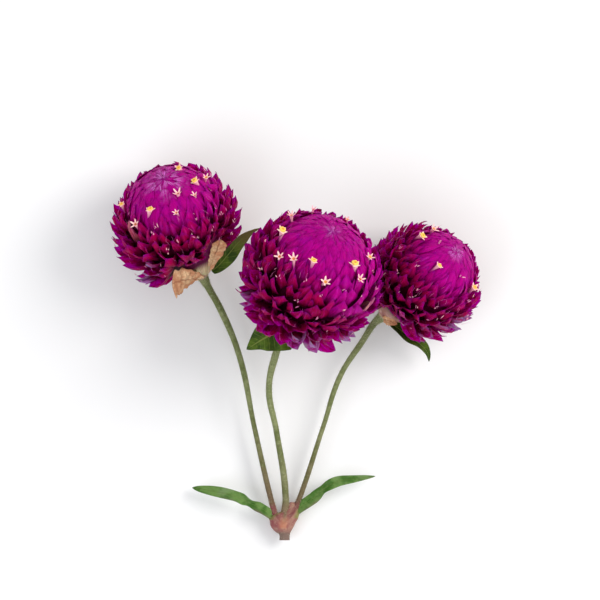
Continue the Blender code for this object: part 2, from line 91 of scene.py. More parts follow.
# A floret's rows: distance from the axis at a notch and at a lobe, height at both in millimetres, and how far
# along the floret; then the places of a yellow floret's last rows instead: distance from the axis and height
FLORET_ROWS = np.array([
    (0.00, 0.00, -3.3, -3.3, 0.00),
    (0.16, 0.16, -3.3, -3.3, 0.02),
    (0.20, 0.20, -2.2, -2.2, 0.20),
    (0.29, 0.29, -1.0, -1.0, 0.42),
    (0.39, 0.39, -0.25, -0.25, 0.55),
    (0.42, 0.64, -0.10, 0.24, 0.70),
    (0.44, 1.12, -0.05, 0.62, 1.00),
    (0.40, 0.62, -0.04, 0.30, 0.86),
    (0.35, 0.36, -0.10, 0.00, 1.10),
    (0.28, 0.28, -0.25, -0.25, 1.18),
    (0.21, 0.21, -0.36, -0.36, 1.28),
    (0.10, 0.10, -0.42, -0.42, 1.40),
    (0.00, 0.00, -0.46, -0.46, 1.50),
])
YELLOW_CUP = ((0.38, 0.10), (0.42, 0.34), (0.28, 0.46), (0.12, 0.34), (0.00, 0.26))

# Faded, bluish bract tips, withered florets, and dried tan bracts: offset from the head's centre as seen
# from above; then how near to its mark a tip is marked, and between which shares of the radius three withered
# tips stand at each place
FADED = {
    "left": ((-7.6, -11.1), (-6.2, -8.6)),
    "middle": ((-2.1, -12.8), (1.3, -13.2), (8.5, -11.8), (-14.4, -3.6)),
    "right": ((6.9, -8.6), (1.0, -10.6), (8.7, -7.1), (-2.5, -7.3)),
}
WITHERED = {
    "left": ((11.4, 0.8), (8.8, 2.3), (4.1, 1.1), (-3.9, -0.4), (-4.7, -1.7), (0.2, -3.3), (4.1, -2.4),
             (-1.6, -5.0), (10.9, -1.7)),
    "middle": ((6.4, -2.4), (10.0, -3.6), (2.2, -3.2), (1.4, -7.8), (6.6, -6.2), (12.4, 1.4), (-6.2, 0.4),
               (-1.2, -0.2), (13.0, -1.8), (-9.9, 2.1), (-2.5, -4.2), (-8.9, 7.6)),
    "right": ((-1.3, 3.1), (3.5, 8.0), (-1.3, -1.5), (-2.3, -3.1), (2.4, -5.2), (-1.2, -4.8), (8.7, -7.1),
              (-4.5, 6.7), (7.5, 1.1), (-4.9, 1.9), (9.2, -3.9)),
}
DRIED = {"left": ((-10.5, 0.7),), "middle": ((12.4, -4.6),), "right": ((-10.5, -8.4),)}
FADED_REACH = 1.8
DRIED_REACH = 1.6
WITHERED_DEPTH = (0.93, 0.97)

# Slivers strewn over each head: between which polar angles and least height above the floor; then how many,
# the ranges of length and thickness in millimetres and of depth as a share of the radius, and how pale they
# can be: withered tips first, then hairs
STREWN_POLAR = (math.radians(112), math.radians(34))
STREWN_HEIGHT = 1.5
STREWN = (
    (40, (0.6, 1.3), (0.06, 0.12), (0.87, 0.94), 1.0),
    (150, (1.2, 2.4), (0.020, 0.030), (0.86, 0.92), 0.0),
)

# Shape of a head, as shares of its radius: height of the dome; the core's distance from the centre, and at
# the apex; the polar angles where the core swells from and turns into a cone; the cone's foot and its depth;
# then the core's rows and points round them
DOME = 0.95
CORE = 0.74
CORE_APEX = 0.90
CORE_SWELL = math.radians(100)
CONE_START = math.radians(100)
CONE_FOOT = 0.17
BASE_DEPTH = 0.86
CORE_ROWS = 30
CORE_RING = 48

# Bracts: how their sites crowd at the apex, and how much nearer to it the tips there stand, up to which share
# of the way down; then values at the apex and lowest down, or where they are closed and open
CROWDING = 0.48
OVERLAP = math.radians(7)
OVERLAP_END = 0.30
ROOT_DEPTH = (0.95, 0.80)
LAG = (math.radians(34), math.radians(29))
LIFT = (math.radians(-3.5), math.radians(33))
WIDTH = (1.7, 0.82)
FOLD = (0.12, 0.9)
PAIR = (0.30, 0.20)
PAIR_ROLL = math.radians(24)
THICK = (0.02, 0.09)
BOW = (0.55, 0.50)

# A bract's flare, jagged edges and crumple, as shares of its half width; how far its inner side is sunk at
# the root and its point hooks inwards, in millimetres
FLARE = 0.5
JAG = 0.16
CRUMPLE = 0.10
SUNK = 0.8
HOOK = 0.45

# How far a bract strays from the rule: as shares of its space downwards and round the head, of its length,
# its width and its fold, in the bend of its point aside as a share of its length, and as angles
STRAY = dict(down=0.20, round=0.12, length=0.03, wide=0.18, fold=0.35, bend=0.14)
STRAY_ROLL = math.radians(24.0)
STRAY_LIFT = math.radians(18.0)

# A bract that meets a neighbour is shortened in steps of this share, so many times at most, and is left out
# when it would be shorter than the last share
SHORTER = 0.96
SHORTENINGS = 9
SHORTEST = 0.72

# The side of a head where its bracts lie flatter: azimuth and elevation in degrees, how near to it that
# starts and is whole, as cosines, and the polar angles between which it ends
CALM_SIDE = (-10, 20)
CALM = (0.2, 0.9)
CALM_END = (math.radians(60), math.radians(85))

# A bract's rows, as shares of its length, and how wide it is there; then the points of a ring: how far
# aside each one stands from the keel, and which of the blade's two sides it is on
BRACT_ALONG = np.array([0.0, 0.16, 0.34, 0.52, 0.68, 0.81, 0.92, 1.0])
BRACT_WIDE = np.array([0.35, 0.72, 0.95, 1.0, 0.86, 0.58, 0.26, 0.0])
BRACT_ASIDE = np.array([-1.0, -0.5, 0.0, 0.5, 1.0, 0.0])
BRACT_SIDE = np.array([0.0, 1.0, 1.0, 1.0, 0.0, -1.0])

# Stalks: centre line in millimetres from inside the joint towards the head, and radius; then how brown each
# one is low down, the shares of its length between which that ends, rows along it and points round it, its
# ribs and their depth as a share of the radius, the neck's length and radius, and the stalk's radius below it
STALKS = {
    "left": (
        ((-4.25, -33.4, 2.7), 0.66), ((-5.2, -29.8, 2.9), 0.56), ((-8.4, -15.8, 3.8), 0.50),
        ((-11.6, -0.8, 5.0), 0.60), ((-15.5, 8.6, 6.2), 0.68),
    ),
    "middle": (
        ((-2.35, -33.4, 2.8), 0.82), ((-2.15, -29.8, 3.3), 0.67), ((-4.0, -16.4, 6.2), 0.58),
        ((-5.5, -8.0, 9.0), 0.62), ((-4.3, -1.4, 12.2), 0.72),
    ),
    "right": (
        ((-0.9, -33.4, 2.7), 0.85), ((0.6, -29.8, 2.9), 0.53), ((5.3, -15.6, 3.5), 0.47),
        ((8.9, -5.0, 4.2), 0.54), ((13.3, 1.8, 4.9), 0.60),
    ),
}
BROWN = (0.95, 0.35, 0.85)
BROWN_END = (0.06, 0.36)
STALK_ROWS = 150
STALK_RING = 20
RIBS = 5
RIB_DEPTH = 0.035
NECK_LENGTH = 3.0
NECK_RADIUS = 1.3
STALK_TOP_RADIUS = 0.70

# Joint: place along the stem, middle, half width and half height of its sections, in millimetres; then the
# leaf bases that grow out of it: places, radius, and where they have left it; then where the leaf bases and
# the stalks begin to count in its sections, and where each stalk has left it
JOINT = (
    (-38.25, -2.41, 2.60, 1.03, 1.00), (-37.1, -2.41, 2.60, 1.08, 1.05), (-36.5, -2.72, 2.60, 1.60, 1.50),
    (-35.4, -2.85, 2.45, 2.35, 2.05), (-34.05, -2.60, 2.40, 2.62, 2.30), (-33.1, -2.30, 2.30, 2.05, 1.75),
    (-32.3, -1.35, 2.55, 0.95, 0.95), (-31.4, -1.05, 2.85, 0.80, 0.70), (-30.6, -0.95, 3.00, 0.35, 0.40),
)
LEAF_BASES = (
    (((-34.6, -4.3, 2.9), (-33.4, -4.9, 3.0), (-31.4, -6.0, 3.2)), 0.80, -33.6),
    (((-34.2, -0.9, 2.9), (-32.4, 0.3, 3.0), (-30.4, 1.3, 3.2)), 0.50, -32.4),
)
LEAF_BASE_START = -35.4
STALK_START = -35.6
STALK_ENDS = (-33.6, -32.6, -31.8)

# Down: how many hairs each stalk and the joint carry, their mean length and their thickness in millimetres
STALK_DOWN = (1500, 0.34)
JOINT_DOWN = (420, 0.28)
HAIR_THICK = 0.016

# Leaves: midrib in millimetres, the way the blade faces, half width, width of its foot as a share of that,
# fold about the midrib, ripple of the edges, turn from base to tip, where it rolls on its side and by how
# much, where it is widest, how full its tip stays, and its tone: 1 at the joint, -1 with a brown tip
USUAL_LEAF = dict(
    foot=0.25, fold=0.2, ripple=0.2, turn=(0.0, 0.0), roll=(0.5, 0.0), widest=0.36, taper=1.5, tone=0.0
)
LEAVES = {
    "leaf_left_head": dict(
        line=((-17.0, 15.8, 8.0), (-15.4, 17.2, 8.5), (-13.7, 19.2, 9.3), (-11.9, 21.4, 10.4),
              (-9.9, 23.3, 11.2), (-7.4, 24.4, 11.8)),
        face=(0.3, -0.35, 0.9), half_width=1.7, foot=0.35, fold=0.45, turn=(0.3, -0.4), taper=1.9,
        tone=-1.0,
    ),
    "dry_scale_left_low": dict(
        line=((-19.5, 14.3, 9.7), (-21.1, 14.3, 12.1), (-22.9, 14.0, 14.0), (-24.9, 13.4, 15.0)),
        face=(-0.1, -0.5, 0.85), half_width=3.3, foot=0.3, ripple=0.3, turn=(0.0, 0.1), widest=0.86,
        taper=4.0,
    ),
    "dry_scale_left_side": dict(
        line=((-17.6, 16.2, 10.7), (-16.8, 18.0, 13.1), (-15.9, 20.2, 15.6), (-15.3, 22.1, 17.3)),
        face=(0.45, -0.3, 0.85), half_width=1.55, fold=0.4, ripple=0.3, turn=(0.0, 0.2), widest=0.72,
        taper=4.0,
    ),
    "leaf_middle_head": dict(
        line=((-3.1, 4.4, 16.9), (-5.0, 3.2, 17.4), (-6.9, 2.1, 17.2), (-8.5, 1.1, 16.3),
              (-10.0, 0.1, 15.2)),
        face=(-0.05, -0.15, 1.0), half_width=4.7, foot=0.9, fold=0.12, ripple=0.12, turn=(0.0, 0.1),
        widest=0.10, taper=1.0,
    ),
    "leaf_middle_under": dict(
        line=((-1.1, 4.7, 15.1), (2.2, 5.3, 12.6), (5.0, 6.2, 11.0), (8.2, 7.4, 9.8)),
        face=(0.4, -0.3, -0.85), half_width=2.6, turn=(0.0, 0.2),
    ),
    "leaf_right_head": dict(
        line=((18.6, 5.5, 6.8), (20.6, 4.0, 6.4), (22.7, 2.5, 6.3), (24.8, 1.0, 6.0), (26.2, -0.6, 5.4),
              (26.6, -2.4, 4.6)),
        face=(0.35, 0.45, 0.8), half_width=1.7, foot=0.4, fold=0.5, ripple=0.15,
    ),
    "dry_scale_right": dict(
        line=((17.5, 6.2, 8.7), (18.7, 5.9, 9.8), (20.2, 5.1, 10.3)),
        face=(0.1, -0.5, 0.85), half_width=1.25, foot=0.5, fold=0.3, ripple=0.1,
    ),
    "leaf_joint_left": dict(
        line=((-4.7, -33.4, 2.9), (-7.2, -31.8, 3.6), (-10.3, -30.2, 4.2), (-13.0, -29.2, 4.1),
              (-16.8, -28.4, 3.4), (-21.0, -27.7, 2.4)),
        face=(0.0, 0.3, 0.95), half_width=1.12, foot=0.85, ripple=0.1, roll=(0.34, 1.1), widest=0.68,
        taper=3.0, tone=1.0,
    ),
    "leaf_joint_right": dict(
        line=((0.0, -32.1, 2.9), (3.2, -30.0, 3.7), (5.5, -28.0, 4.3), (8.2, -26.5, 4.3),
              (12.0, -25.9, 3.6), (15.9, -25.4, 2.6)),
        face=(0.0, 0.3, 0.95), half_width=1.15, foot=1.05, ripple=0.1, roll=(0.38, 0.5), widest=0.40,
        taper=2.6, tone=1.0,
    ),
}

# How far along a leaf its roll reaches, half its thickness in millimetres, its side veins and their slant,
# and rows along it and points round it, in the mesh and in the samples that bracts keep clear of
ROLL_REACH = 0.10
LEAF_THICK = 0.16
VEINS = 9.0
VEIN_SLANT = 1.3
LEAF_GRID = (48, 26)
LEAF_SAMPLES = (14, 12)

# How far bracts keep from leaves, stalks, necks and the middle head's ball, and aside from what they must not
# lie over, in millimetres; then the rows of a stalk where it comes near the heads and where its neck starts
LEAF_CLEARANCE = 0.55
STALK_CLEARANCE = 1.2
NECK_CLEARANCE = 0.9
BALL_CLEARANCE = 0.3
OVER_CLEARANCE = 0.5
NEAR_ROW = 60
NECK_ROW = 115

# Meshes: points nearer than the weld are merged and edges shorter than the sliver are removed, in metres; the
# least angle of a sharp edge; heights under the soft one, in millimetres, ease off above the floor
WELD = 0.000002
SLIVER = 0.000001
SHARP = math.radians(70)
SOFT = 0.25

# Studio: half the floor's side, what the lights look at and the camera's place in metres; the camera's lens
# and sensor in millimetres; the sky's strength; then place, width, power and colour of each light
FLOOR_HALF = 1.5
TARGET = (0.0, 0.01, 0.01)
CAMERA_PLACE = (0.0007, 0.010, 2.681)
LENS = 800.0
SENSOR = 36.0
SKY_STRENGTH = 0.74
LIGHTS = {
    "key": ((0.47, 0.20, 0.47), 0.42, 2.8, (1.0, 0.98, 0.96)),
    "fill": ((-0.36, -0.26, 0.50), 0.50, 1.1, (0.84, 0.89, 1.0)),
}


# Shapes


def unit(vectors):
    """Each vector along the last axis, scaled to length 1."""
    return vectors / np.linalg.norm(vectors, axis=-1, keepdims=True)


def mix(low, high, share):
    """The value at a share of the way from low to high."""
    return low + (high - low) * share


def each(values):
    """One value for each repeat, ready to meet its rows and ring points."""
    return values[:, None, None]


def circle(count):
    """Angles of evenly spaced points all round."""
    return np.linspace(0.0, math.tau, count, endpoint=False)


def swung(first, second, angle):
    """Two directions at right angles, turned by an angle from the first towards the second."""
    return first * np.cos(angle) + second * np.sin(angle), second * np.cos(angle) - first * np.sin(angle)


def spokes(first, second, angle):
    """Directions at angles round a line, from the first one across it towards the second."""
    return first[:, None] * np.cos(angle)[None, :, None] + second[:, None] * np.sin(angle)[None, :, None]


def onto_ball(flat, radius):
    """Offsets as seen from above, raised onto the upper half of a ball."""
    return np.column_stack([flat, np.sqrt(np.maximum(radius**2 - (flat**2).sum(-1), 0.0))])


def placed(middle, *ways):
    """Points round a line: a point of it plus a distance along each of the given directions."""
    points = middle[..., None, :]
    for way, distance in ways:
        points = points + way[..., None, :] * distance[..., None]
    return points


def smooth(low, high, value):
    """0 below low, 1 above high, and the smooth step 3x^2 - 2x^3 between them."""
    x = np.clip((value - low) / (high - low), 0.0, 1.0)
    return x * x * (3.0 - 2.0 * x)


def ring_faces(copies, rows, ring):
    """Quads of several tubes of equal grids: rows along each tube, ring points round it, closed round."""
    row = np.arange(rows - 1)[:, None]
    spot = np.arange(ring)[None, :]
    after = (spot + 1) % ring
    one = np.stack(
        [row * ring + spot, row * ring + after, (row + 1) * ring + after, (row + 1) * ring + spot], -1
    ).reshape(-1, 4)
    start = np.arange(copies)[:, None, None] * (rows * ring)
    return (one[None] + start).reshape(-1, 4)


def rings_mesh(grids):
    """Points, faces and values of several grids of rings as one set of arrays.

    Each grid is its points (copies, rows, ring, 3) in millimetres and its values, one number a point."""
    points, faces, values = [], [], {}
    start = 0
    for spots, extra in grids:
        copies, rows, ring = spots.shape[:3]
        points.append(spots.reshape(-1, 3))
        faces.append(ring_faces(copies, rows, ring) + start)
        for name, value in extra.items():
            values.setdefault(name, []).append(np.broadcast_to(value, spots.shape[:3]).reshape(-1))
        start += copies * rows * ring
    return np.concatenate(points), np.concatenate(faces), {n: np.concatenate(v) for n, v in values.items()}


def above_floor(points):
    """Heights under a small soft value fall off as an exponential, so that nothing passes the floor."""
    height = points[..., 2]
    height = np.where(height < SOFT, SOFT * np.exp(np.minimum(height, SOFT) / SOFT - 1.0), height)
    return np.concatenate([points[..., :2], height[..., None]], -1)


def make_piece(name, grids, material, nodes=()):
    """A mesh piece from grids of rings, with its values as attributes, that rides on the object's body."""
    points, faces, values = rings_mesh(grids)
    mesh = bpy.data.meshes.new(name)
    mesh.vertices.add(len(points))
    mesh.vertices.foreach_set("co", (above_floor(points) * MM).astype(np.float32).ravel())
    mesh.loops.add(faces.size)
    mesh.loops.foreach_set("vertex_index", faces.ravel().astype(np.int32))
    mesh.polygons.add(len(faces))
    mesh.polygons.foreach_set("loop_start", np.arange(len(faces), dtype=np.int32) * 4)
    mesh.update(calc_edges=True)
    for key, value in values.items():
        layer = mesh.attributes.new(key, "FLOAT", "POINT")
        layer.data.foreach_set("value", value.astype(np.float32))
    form = bmesh.new()
    form.from_mesh(mesh)
    bmesh.ops.remove_doubles(form, verts=form.verts[:], dist=WELD)
    bmesh.ops.dissolve_degenerate(form, edges=form.edges[:], dist=SLIVER)
    bmesh.ops.recalc_face_normals(form, faces=form.faces[:])
    form.to_mesh(mesh)
    form.free()
    mesh.polygons.foreach_set("use_smooth", np.ones(len(mesh.polygons), dtype=bool))
    mesh.set_sharp_from_angle(angle=SHARP)
    mesh.materials.append(material)
    piece = bpy.data.objects.new(name, mesh)
    bpy.context.scene.collection.objects.link(piece)
    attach(piece, "root")
    if nodes:
        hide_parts(*nodes)


def polar_points(radius, polar, azimuth):
    """Points at distances and polar angles from a head's centre, on the dome where they are above it."""
    height = radius * np.cos(polar)
    height = np.where(height > 0.0, height * DOME, height)
    across = radius * np.sin(polar)
    return np.stack(np.broadcast_arrays(across * np.cos(azimuth), across * np.sin(azimuth), height), -1)


def core_share(polar):
    """The core's distance from the centre: a ball that swells to the apex, below it a cone to a flat foot."""
    ball = CORE + (CORE_APEX - CORE) * np.maximum(0.0, 1.0 - polar / CORE_SWELL)
    start = (CORE * math.sin(CONE_START), CORE * math.cos(CONE_START))
    run = (CONE_FOOT - start[0], -BASE_DEPTH - start[1])
    ray = (np.sin(polar), np.minimum(np.cos(polar), -1e-3))
    cone = (start[0] * run[1] - start[1] * run[0]) / (ray[0] * run[1] - ray[1] * run[0])
    cone = np.where(ray[1] < -0.5, np.minimum(cone, -BASE_DEPTH / ray[1]), cone)
    return np.where(polar <= CONE_START, ball, cone)


def direction(azimuth, elevation):
    """The unit vector at an azimuth and elevation in degrees."""
    azimuth, elevation = math.radians(azimuth), math.radians(elevation)
    flat = math.cos(elevation)
    return np.array((flat * math.cos(azimuth), flat * math.sin(azimuth), math.sin(elevation)))


def head_axes(head):
    """The head's centre and its own axes as columns, the third one from its base through the centre."""
    axis = Vector(direction(*head["base"]))
    return np.array(head["centre"]), np.array(axis.to_track_quat("Z", "Y").to_matrix())


def lean_over(head, away, polar):
    """Places from the head's centre, turned about it from the base's axis to the top.

    The turn is whole near the apex and eases to none at the base."""
    base, top = direction(*head["base"]), direction(*head["top"])
    pivot = unit(np.cross(base, top))
    turn = math.acos(float(base @ top)) * (1.0 - smooth(*TURN_END, polar))[..., None]
    across = np.cross(pivot, away)
    along = (away @ pivot)[..., None] * pivot
    return along + (away - along) * np.cos(turn) + across * np.sin(turn)


def core_grid(head):
    """The core: a ring for each polar angle, at the core's distance from the centre, uneven by a small sine.

    Where it is open it is painted dark as shade between the bracts, less on the north side and on the east
    side, as painted light falls there."""
    polar = np.linspace(0.0, math.pi, CORE_ROWS)[:, None]
    around = circle(CORE_RING)[None, :]
    centre, axes = head_axes(head)
    uneven = 1.0 + 0.02 * np.sin(9.0 * around + 11.0 * polar) * np.sin(polar)
    points = polar_points(core_share(polar) * head["radius"] * 0.98 * uneven, polar, around)
    places = lean_over(head, points @ axes.T, polar)
    # Painted light: the open core is painted less dark towards the north and on the east side.
    north = smooth(0.2, 0.7, unit(places)[..., 1])
    east = 3.0 * head["brighter"] * smooth(0.0, 0.8, unit(places)[..., 0])
    opened = smooth(0.18, 0.34, polar / math.pi) * (1.0 - 0.8 * north) * (1.0 - east)
    values = {
        "along": 0.0, "aside": np.sin(around * 4.0)[None], "outer": 2.0, "low": (polar / math.pi)[None],
        "opened": opened[None], "shimmer": 0.0, "tone": head["blush"], "faded": 0.0, "dried": 0.0,
    }
    return (centre + places)[None], values


def bract_draws(head):
    """Where each bract's tip stands, and its small differences from the rule.

    Sites follow the golden angle, and the share of the ball's area above a site grows as a power of its
    number, so that they crowd at the apex. Each site carries a pair of bracts that stand a share of its
    space apart and turn their keels away from each other. They open and lift below the dome, less on the
    calm side, and the more they open the more they stray."""
    count = 2 * head["sites"]
    rng = np.random.default_rng(head["seed"])
    site = np.repeat(np.arange(head["sites"]), 2)
    hand = np.tile([-1.0, 1.0], head["sites"])
    total = (1.0 - math.cos(math.radians(head["lowest"]))) / 2.0
    area = total * ((site + 1.0) / (head["sites"] + 1.0)) ** (1.0 / CROWDING)
    polar = np.arccos(1.0 - 2.0 * area)
    spacing = head["radius"] * np.sqrt(4.0 * math.pi * area / ((site + 1.0) * CROWDING))
    low = polar / math.radians(head["lowest"])
    azimuth = site * GOLDEN_ANGLE
    seat = polar_points(1.0, polar, azimuth) @ head_axes(head)[1].T
    calm = smooth(*CALM, unit(seat) @ direction(*CALM_SIDE)) * (1.0 - smooth(*CALM_END, polar)) * head["calm"]
    opened = smooth(math.radians(head["dome"] - 9), math.radians(head["dome"] + 8), polar) * (1.0 - calm)
    stray = rng.uniform(-1.0, 1.0, (10, count)) * mix(0.25, 1.0, opened)
    around = spacing / (head["radius"] * np.sin(polar))
    return dict(
        polar=polar - OVERLAP * np.maximum(0.0, 1.0 - low / OVERLAP_END)
        + stray[0] * STRAY["down"] * spacing / head["radius"],
        azimuth=azimuth + (hand * mix(*PAIR, low) + stray[1] * STRAY["round"]) * around,
        spacing=spacing,
        low=low,
        opened=opened,
        lifted=(0.75 * smooth(*np.radians(head["lift"]), polar) + 0.25 * smooth(0.20, 0.50, low))
        * (1.0 - calm),
        shimmer=1.0 - smooth(0.35, 1.0, polar / math.radians(head["shimmer"])),
        length=0.99 + STRAY["length"] * stray[2],
        roll=hand * PAIR_ROLL * opened + stray[3] * STRAY_ROLL,
        wide=1.0 + STRAY["wide"] * stray[4],
        lift=stray[5] * STRAY_LIFT,
        fold=1.0 + STRAY["fold"] * stray[6],
        bend=stray[7] * STRAY["bend"],
        tone=stray[8],
        phase=stray[9] * math.pi,
    )


def bract_grid(head, draws, reach, along, shape, aside, outer, jag):
    """Bracts in the world, a closed ring for each share of the length.

    The midline is a quadratic curve from a root in the core to a tip on the ball, where it arrives at its
    lift off the ball. Across it the blade is a keel with both halves folded back, flared edges and a sine's
    crumple, and it narrows to a point that bends to one side and hooks inwards. Its edges are jagged by
    small amounts. On the dome its inner side is sunk towards the root. The whole leans over with the dome."""
    low, lower, polar = draws["low"], draws["opened"], draws["polar"]
    radius = head["radius"] * draws["length"] * reach
    back = np.minimum(polar + mix(*LAG, low), math.radians(168))
    root = polar_points(mix(*ROOT_DEPTH, lower) * core_share(back) * head["radius"], back, 0.0)
    tip = polar_points(radius, polar, 0.0)
    heading = polar - math.pi / 2.0 + mix(*LIFT, draws["lifted"]) + draws["lift"] * lower
    arrival = np.stack([np.sin(heading), np.zeros_like(heading), np.cos(heading)], -1)
    length = np.linalg.norm(tip - root, axis=-1, keepdims=True)
    handle = tip - arrival * length * mix(*BOW, lower)[:, None]
    s = along[None, :, None]
    line = root[:, None] * (1 - s) ** 2 + handle[:, None] * 2 * s * (1 - s) + tip[:, None] * s**2
    run = unit((handle - root)[:, None] * (1 - s) + (tip - handle)[:, None] * s)
    side = np.array([0.0, 1.0, 0.0])
    line = line + side * (each(draws["bend"]) * length[:, None] * s**2)
    out = np.cross(side, run)
    across, keel = swung(side, out, each(draws["roll"]))
    x = aside[None, None, :]
    half = draws["wide"] * draws["spacing"] * mix(*WIDTH, lower) / 2.0
    wide = each(half) * shape[None, :, None] * (1.0 + JAG * jag * each(lower))
    fold = each(mix(*FOLD, lower) * draws["fold"])
    bent = np.sqrt(x * x + 0.01) - 0.1
    flare = FLARE * each(lower) * s**2 * np.abs(x) ** 3
    crumple = CRUMPLE * np.sin(s * 8.0 + each(draws["phase"]) + 3.0 * x)
    height = wide * (flare - fold * bent + crumple * each(lower))
    height = height + each(mix(*THICK, lower)) * outer * (1.0 - 0.6 * s)
    height = height - SUNK * each(1.0 - smooth(0.30, 0.50, low)) * np.maximum(-outer, 0.0) * (1.0 - s)
    hook = HOOK * smooth(0.7, 1.0, s) ** 2 * each(lower)
    points = placed(line, (across, wide * x), (keel, height - hook))
    east, north, up = np.moveaxis(points, -1, 0)
    east, north = swung(east, north, -each(draws["azimuth"]))
    centre, axes = head_axes(head)
    return centre + lean_over(head, np.stack([east, north, up], -1) @ axes.T, each(polar))


def crowded(points, obstacles, balls):
    """Which bracts come too near an obstacle, lie over one that is outermost, or reach into a ball.

    points is (bracts, samples, 3). An obstacle is its points, its clearance and whether it is outermost, as
    the dry scales and the side heads' necks are: it shows from above, so no bract lies over it."""
    near = np.zeros(len(points), dtype=bool)
    for spots, clearance, outermost in obstacles:
        apart = points[:, :, None] - spots[None, None]
        near |= (np.linalg.norm(apart, axis=-1) < clearance).any(axis=(1, 2))
        if outermost:
            over = (np.linalg.norm(apart[..., :2], axis=-1) < OVER_CLEARANCE) & (apart[..., 2] > 0.0)
            near |= over.any(axis=(1, 2))
    for centre, radius in balls:
        near |= (np.linalg.norm(points - centre, axis=-1) < radius).any(axis=1)
    return near


def near_marks(points, centre, marks, reach):
    """How near tips on a head's upper side are to marked places as seen from above: 1 at one, 0 away."""
    apart = np.linalg.norm(points[:, None, :2] - (centre[:2] + np.array(marks)), axis=-1).min(axis=-1)
    return (1.0 - smooth(0.6 * reach, reach, apart)) * (points[:, 2] > centre[2] - 3.0)


def bracts(name, obstacles, balls):
    """All bracts of a head. One that meets a neighbour is shortened until it is clear, or left out.

    The material takes a bract for a higher, lighter one the more its tip faces east: painted light from that
    side."""
    head = HEADS[name]
    draws = bract_draws(head)
    reach = np.ones(2 * head["sites"])
    test_along = np.array([0.35, 0.5, 0.65, 0.8, 0.9, 1.0])
    test_shape = np.interp(test_along, BRACT_ALONG, BRACT_WIDE)
    test_aside = np.array([-1.0, 0.0, 1.0])
    for _ in range(SHORTENINGS):
        sample = bract_grid(head, draws, reach, test_along, test_shape, test_aside, test_aside * 0.0, 0.0)
        near = crowded(sample.reshape(2 * head["sites"], -1, 3), obstacles, balls)
        reach = np.where(near, reach * SHORTER, reach)
    kept = reach > SHORTEST
    draws = {key: value[kept] for key, value in draws.items()}
    rng = np.random.default_rng(head["seed"] + 50)
    jag = rng.uniform(-1.0, 1.0, (kept.sum(), len(BRACT_ALONG), len(BRACT_ASIDE)))
    points = bract_grid(head, draws, reach[kept], BRACT_ALONG, BRACT_WIDE, BRACT_ASIDE, BRACT_SIDE, jag)
    tips, centre = points[:, -1, 0], np.array(head["centre"])
    # Painted light: bracts whose tips face east count as higher, so they are painted lighter.
    brighter = head["brighter"] * smooth(0.0, 0.8, unit(tips - centre) @ direction(0, 0))
    values = {
        "along": BRACT_ALONG[None, :, None],
        "aside": BRACT_ASIDE[None, None, :],
        "outer": BRACT_SIDE[None, None, :],
        "low": each(draws["low"] - brighter),
        "faded": each(near_marks(tips, centre, FADED[name], FADED_REACH)),
        "dried": each(near_marks(tips, centre, DRIED[name], DRIED_REACH)),
        **{key: each(draws[key]) for key in ("opened", "shimmer", "tone")},
    }
    return points, values


def floret_tops(name):
    """Where a head's florets open: those seen from above, and some by the golden angle on its underside."""
    head = HEADS[name]
    centre, axes = head_axes(head)
    reach = FLORET_REACH * head["radius"]
    seen = np.array(FLORETS[name])
    away = unit(onto_ball(seen[:, :2], reach))
    k = np.arange(UNSEEN_FLORETS)
    polar = mix(*UNSEEN_POLAR, (k * 0.618) % 1.0)
    under = polar_points(reach, polar, k * GOLDEN_ANGLE) @ axes.T
    under = under[(under[:, 2] < -0.4 * reach) & (centre[2] + under[:, 2] > UNSEEN_HEIGHT)]
    away = np.concatenate([away, unit(under)])
    yellow = np.concatenate([seen[:, 2], (np.arange(len(under)) % 3 == 0) * 1.0])
    size = np.concatenate([seen[:, 3], np.full(len(under), 0.9)])
    apex = direction(*head["top"])
    lean = unit(apex - away * (away @ apex)[:, None])
    return centre + away * reach, unit(away + mix(0.4, 0.9, yellow)[:, None] * lean), yellow, size


def floret_grid(tops, away, yellow, size, seed):
    """Florets: a slender tube that widens to a mouth with five narrow lobes, and a throat or a yellow cup.

    Round the tube the rim's distance from the axis is a power of a cosine with five maxima. The rows run
    from the root up the outside, over the lobes' tips and down into the throat. In a yellow floret the lobes
    are short and the last rows stand up as a ring with a hollow in the middle. Each leans a little."""
    rng = np.random.default_rng(seed)
    count = len(tops)
    around = circle(FLORET_RING)
    lobe = np.abs(np.cos(2.5 * around)) ** 3.6
    rows = FLORET_ROWS
    ring = rows[:, [0, 2]].copy()
    ring[-len(YELLOW_CUP):] = YELLOW_CUP
    cup = each(yellow)
    widened = 1.0 + 0.40 * cup * smooth(0.3, 0.55, rows[:, 4])[None, :, None]
    short = 1.0 - 0.55 * cup

    def bordered(notch, tip, cupped):
        """A row's value all round: at a notch its own or the yellow cup's, and that plus a step at a lobe."""
        plain = mix(notch, cupped, yellow[:, None])[:, :, None]
        return plain + (tip - notch)[None, :, None] * lobe * short

    rim = bordered(rows[:, 0], rows[:, 1], ring[:, 0])
    rise = bordered(rows[:, 2], rows[:, 3], ring[:, 1])
    size = each(size)
    uneven = 1.0 + 0.18 * np.cos(around + each(rng.uniform(0, math.tau, count)))
    reach = rim * size * widened * mix(1.0, uneven, lobe * (rise > 0.0))
    side = unit(np.cross(away, np.array([0.31, 0.55, -0.77])))
    other = np.cross(away, side)
    angle = around + each(rng.uniform(0.0, math.tau, count))
    lean = rng.uniform(-0.25, 0.25, (2, count))[:, :, None, None]
    up = rise * size
    east = reach * np.cos(angle) + lean[0] * (up + 1.5)
    north = reach * np.sin(angle) + lean[1] * (up + 1.5)
    points = placed(tops[:, None], (side[:, None], east), (other[:, None], north), (away[:, None], up))
    values = {
        "along": rows[None, :, 4, None],
        "yellow": cup,
        "tone": each(rng.uniform(-1.0, 1.0, count)) + 5.0 * np.maximum(0.85 - size, 0.0),
    }
    return points, values


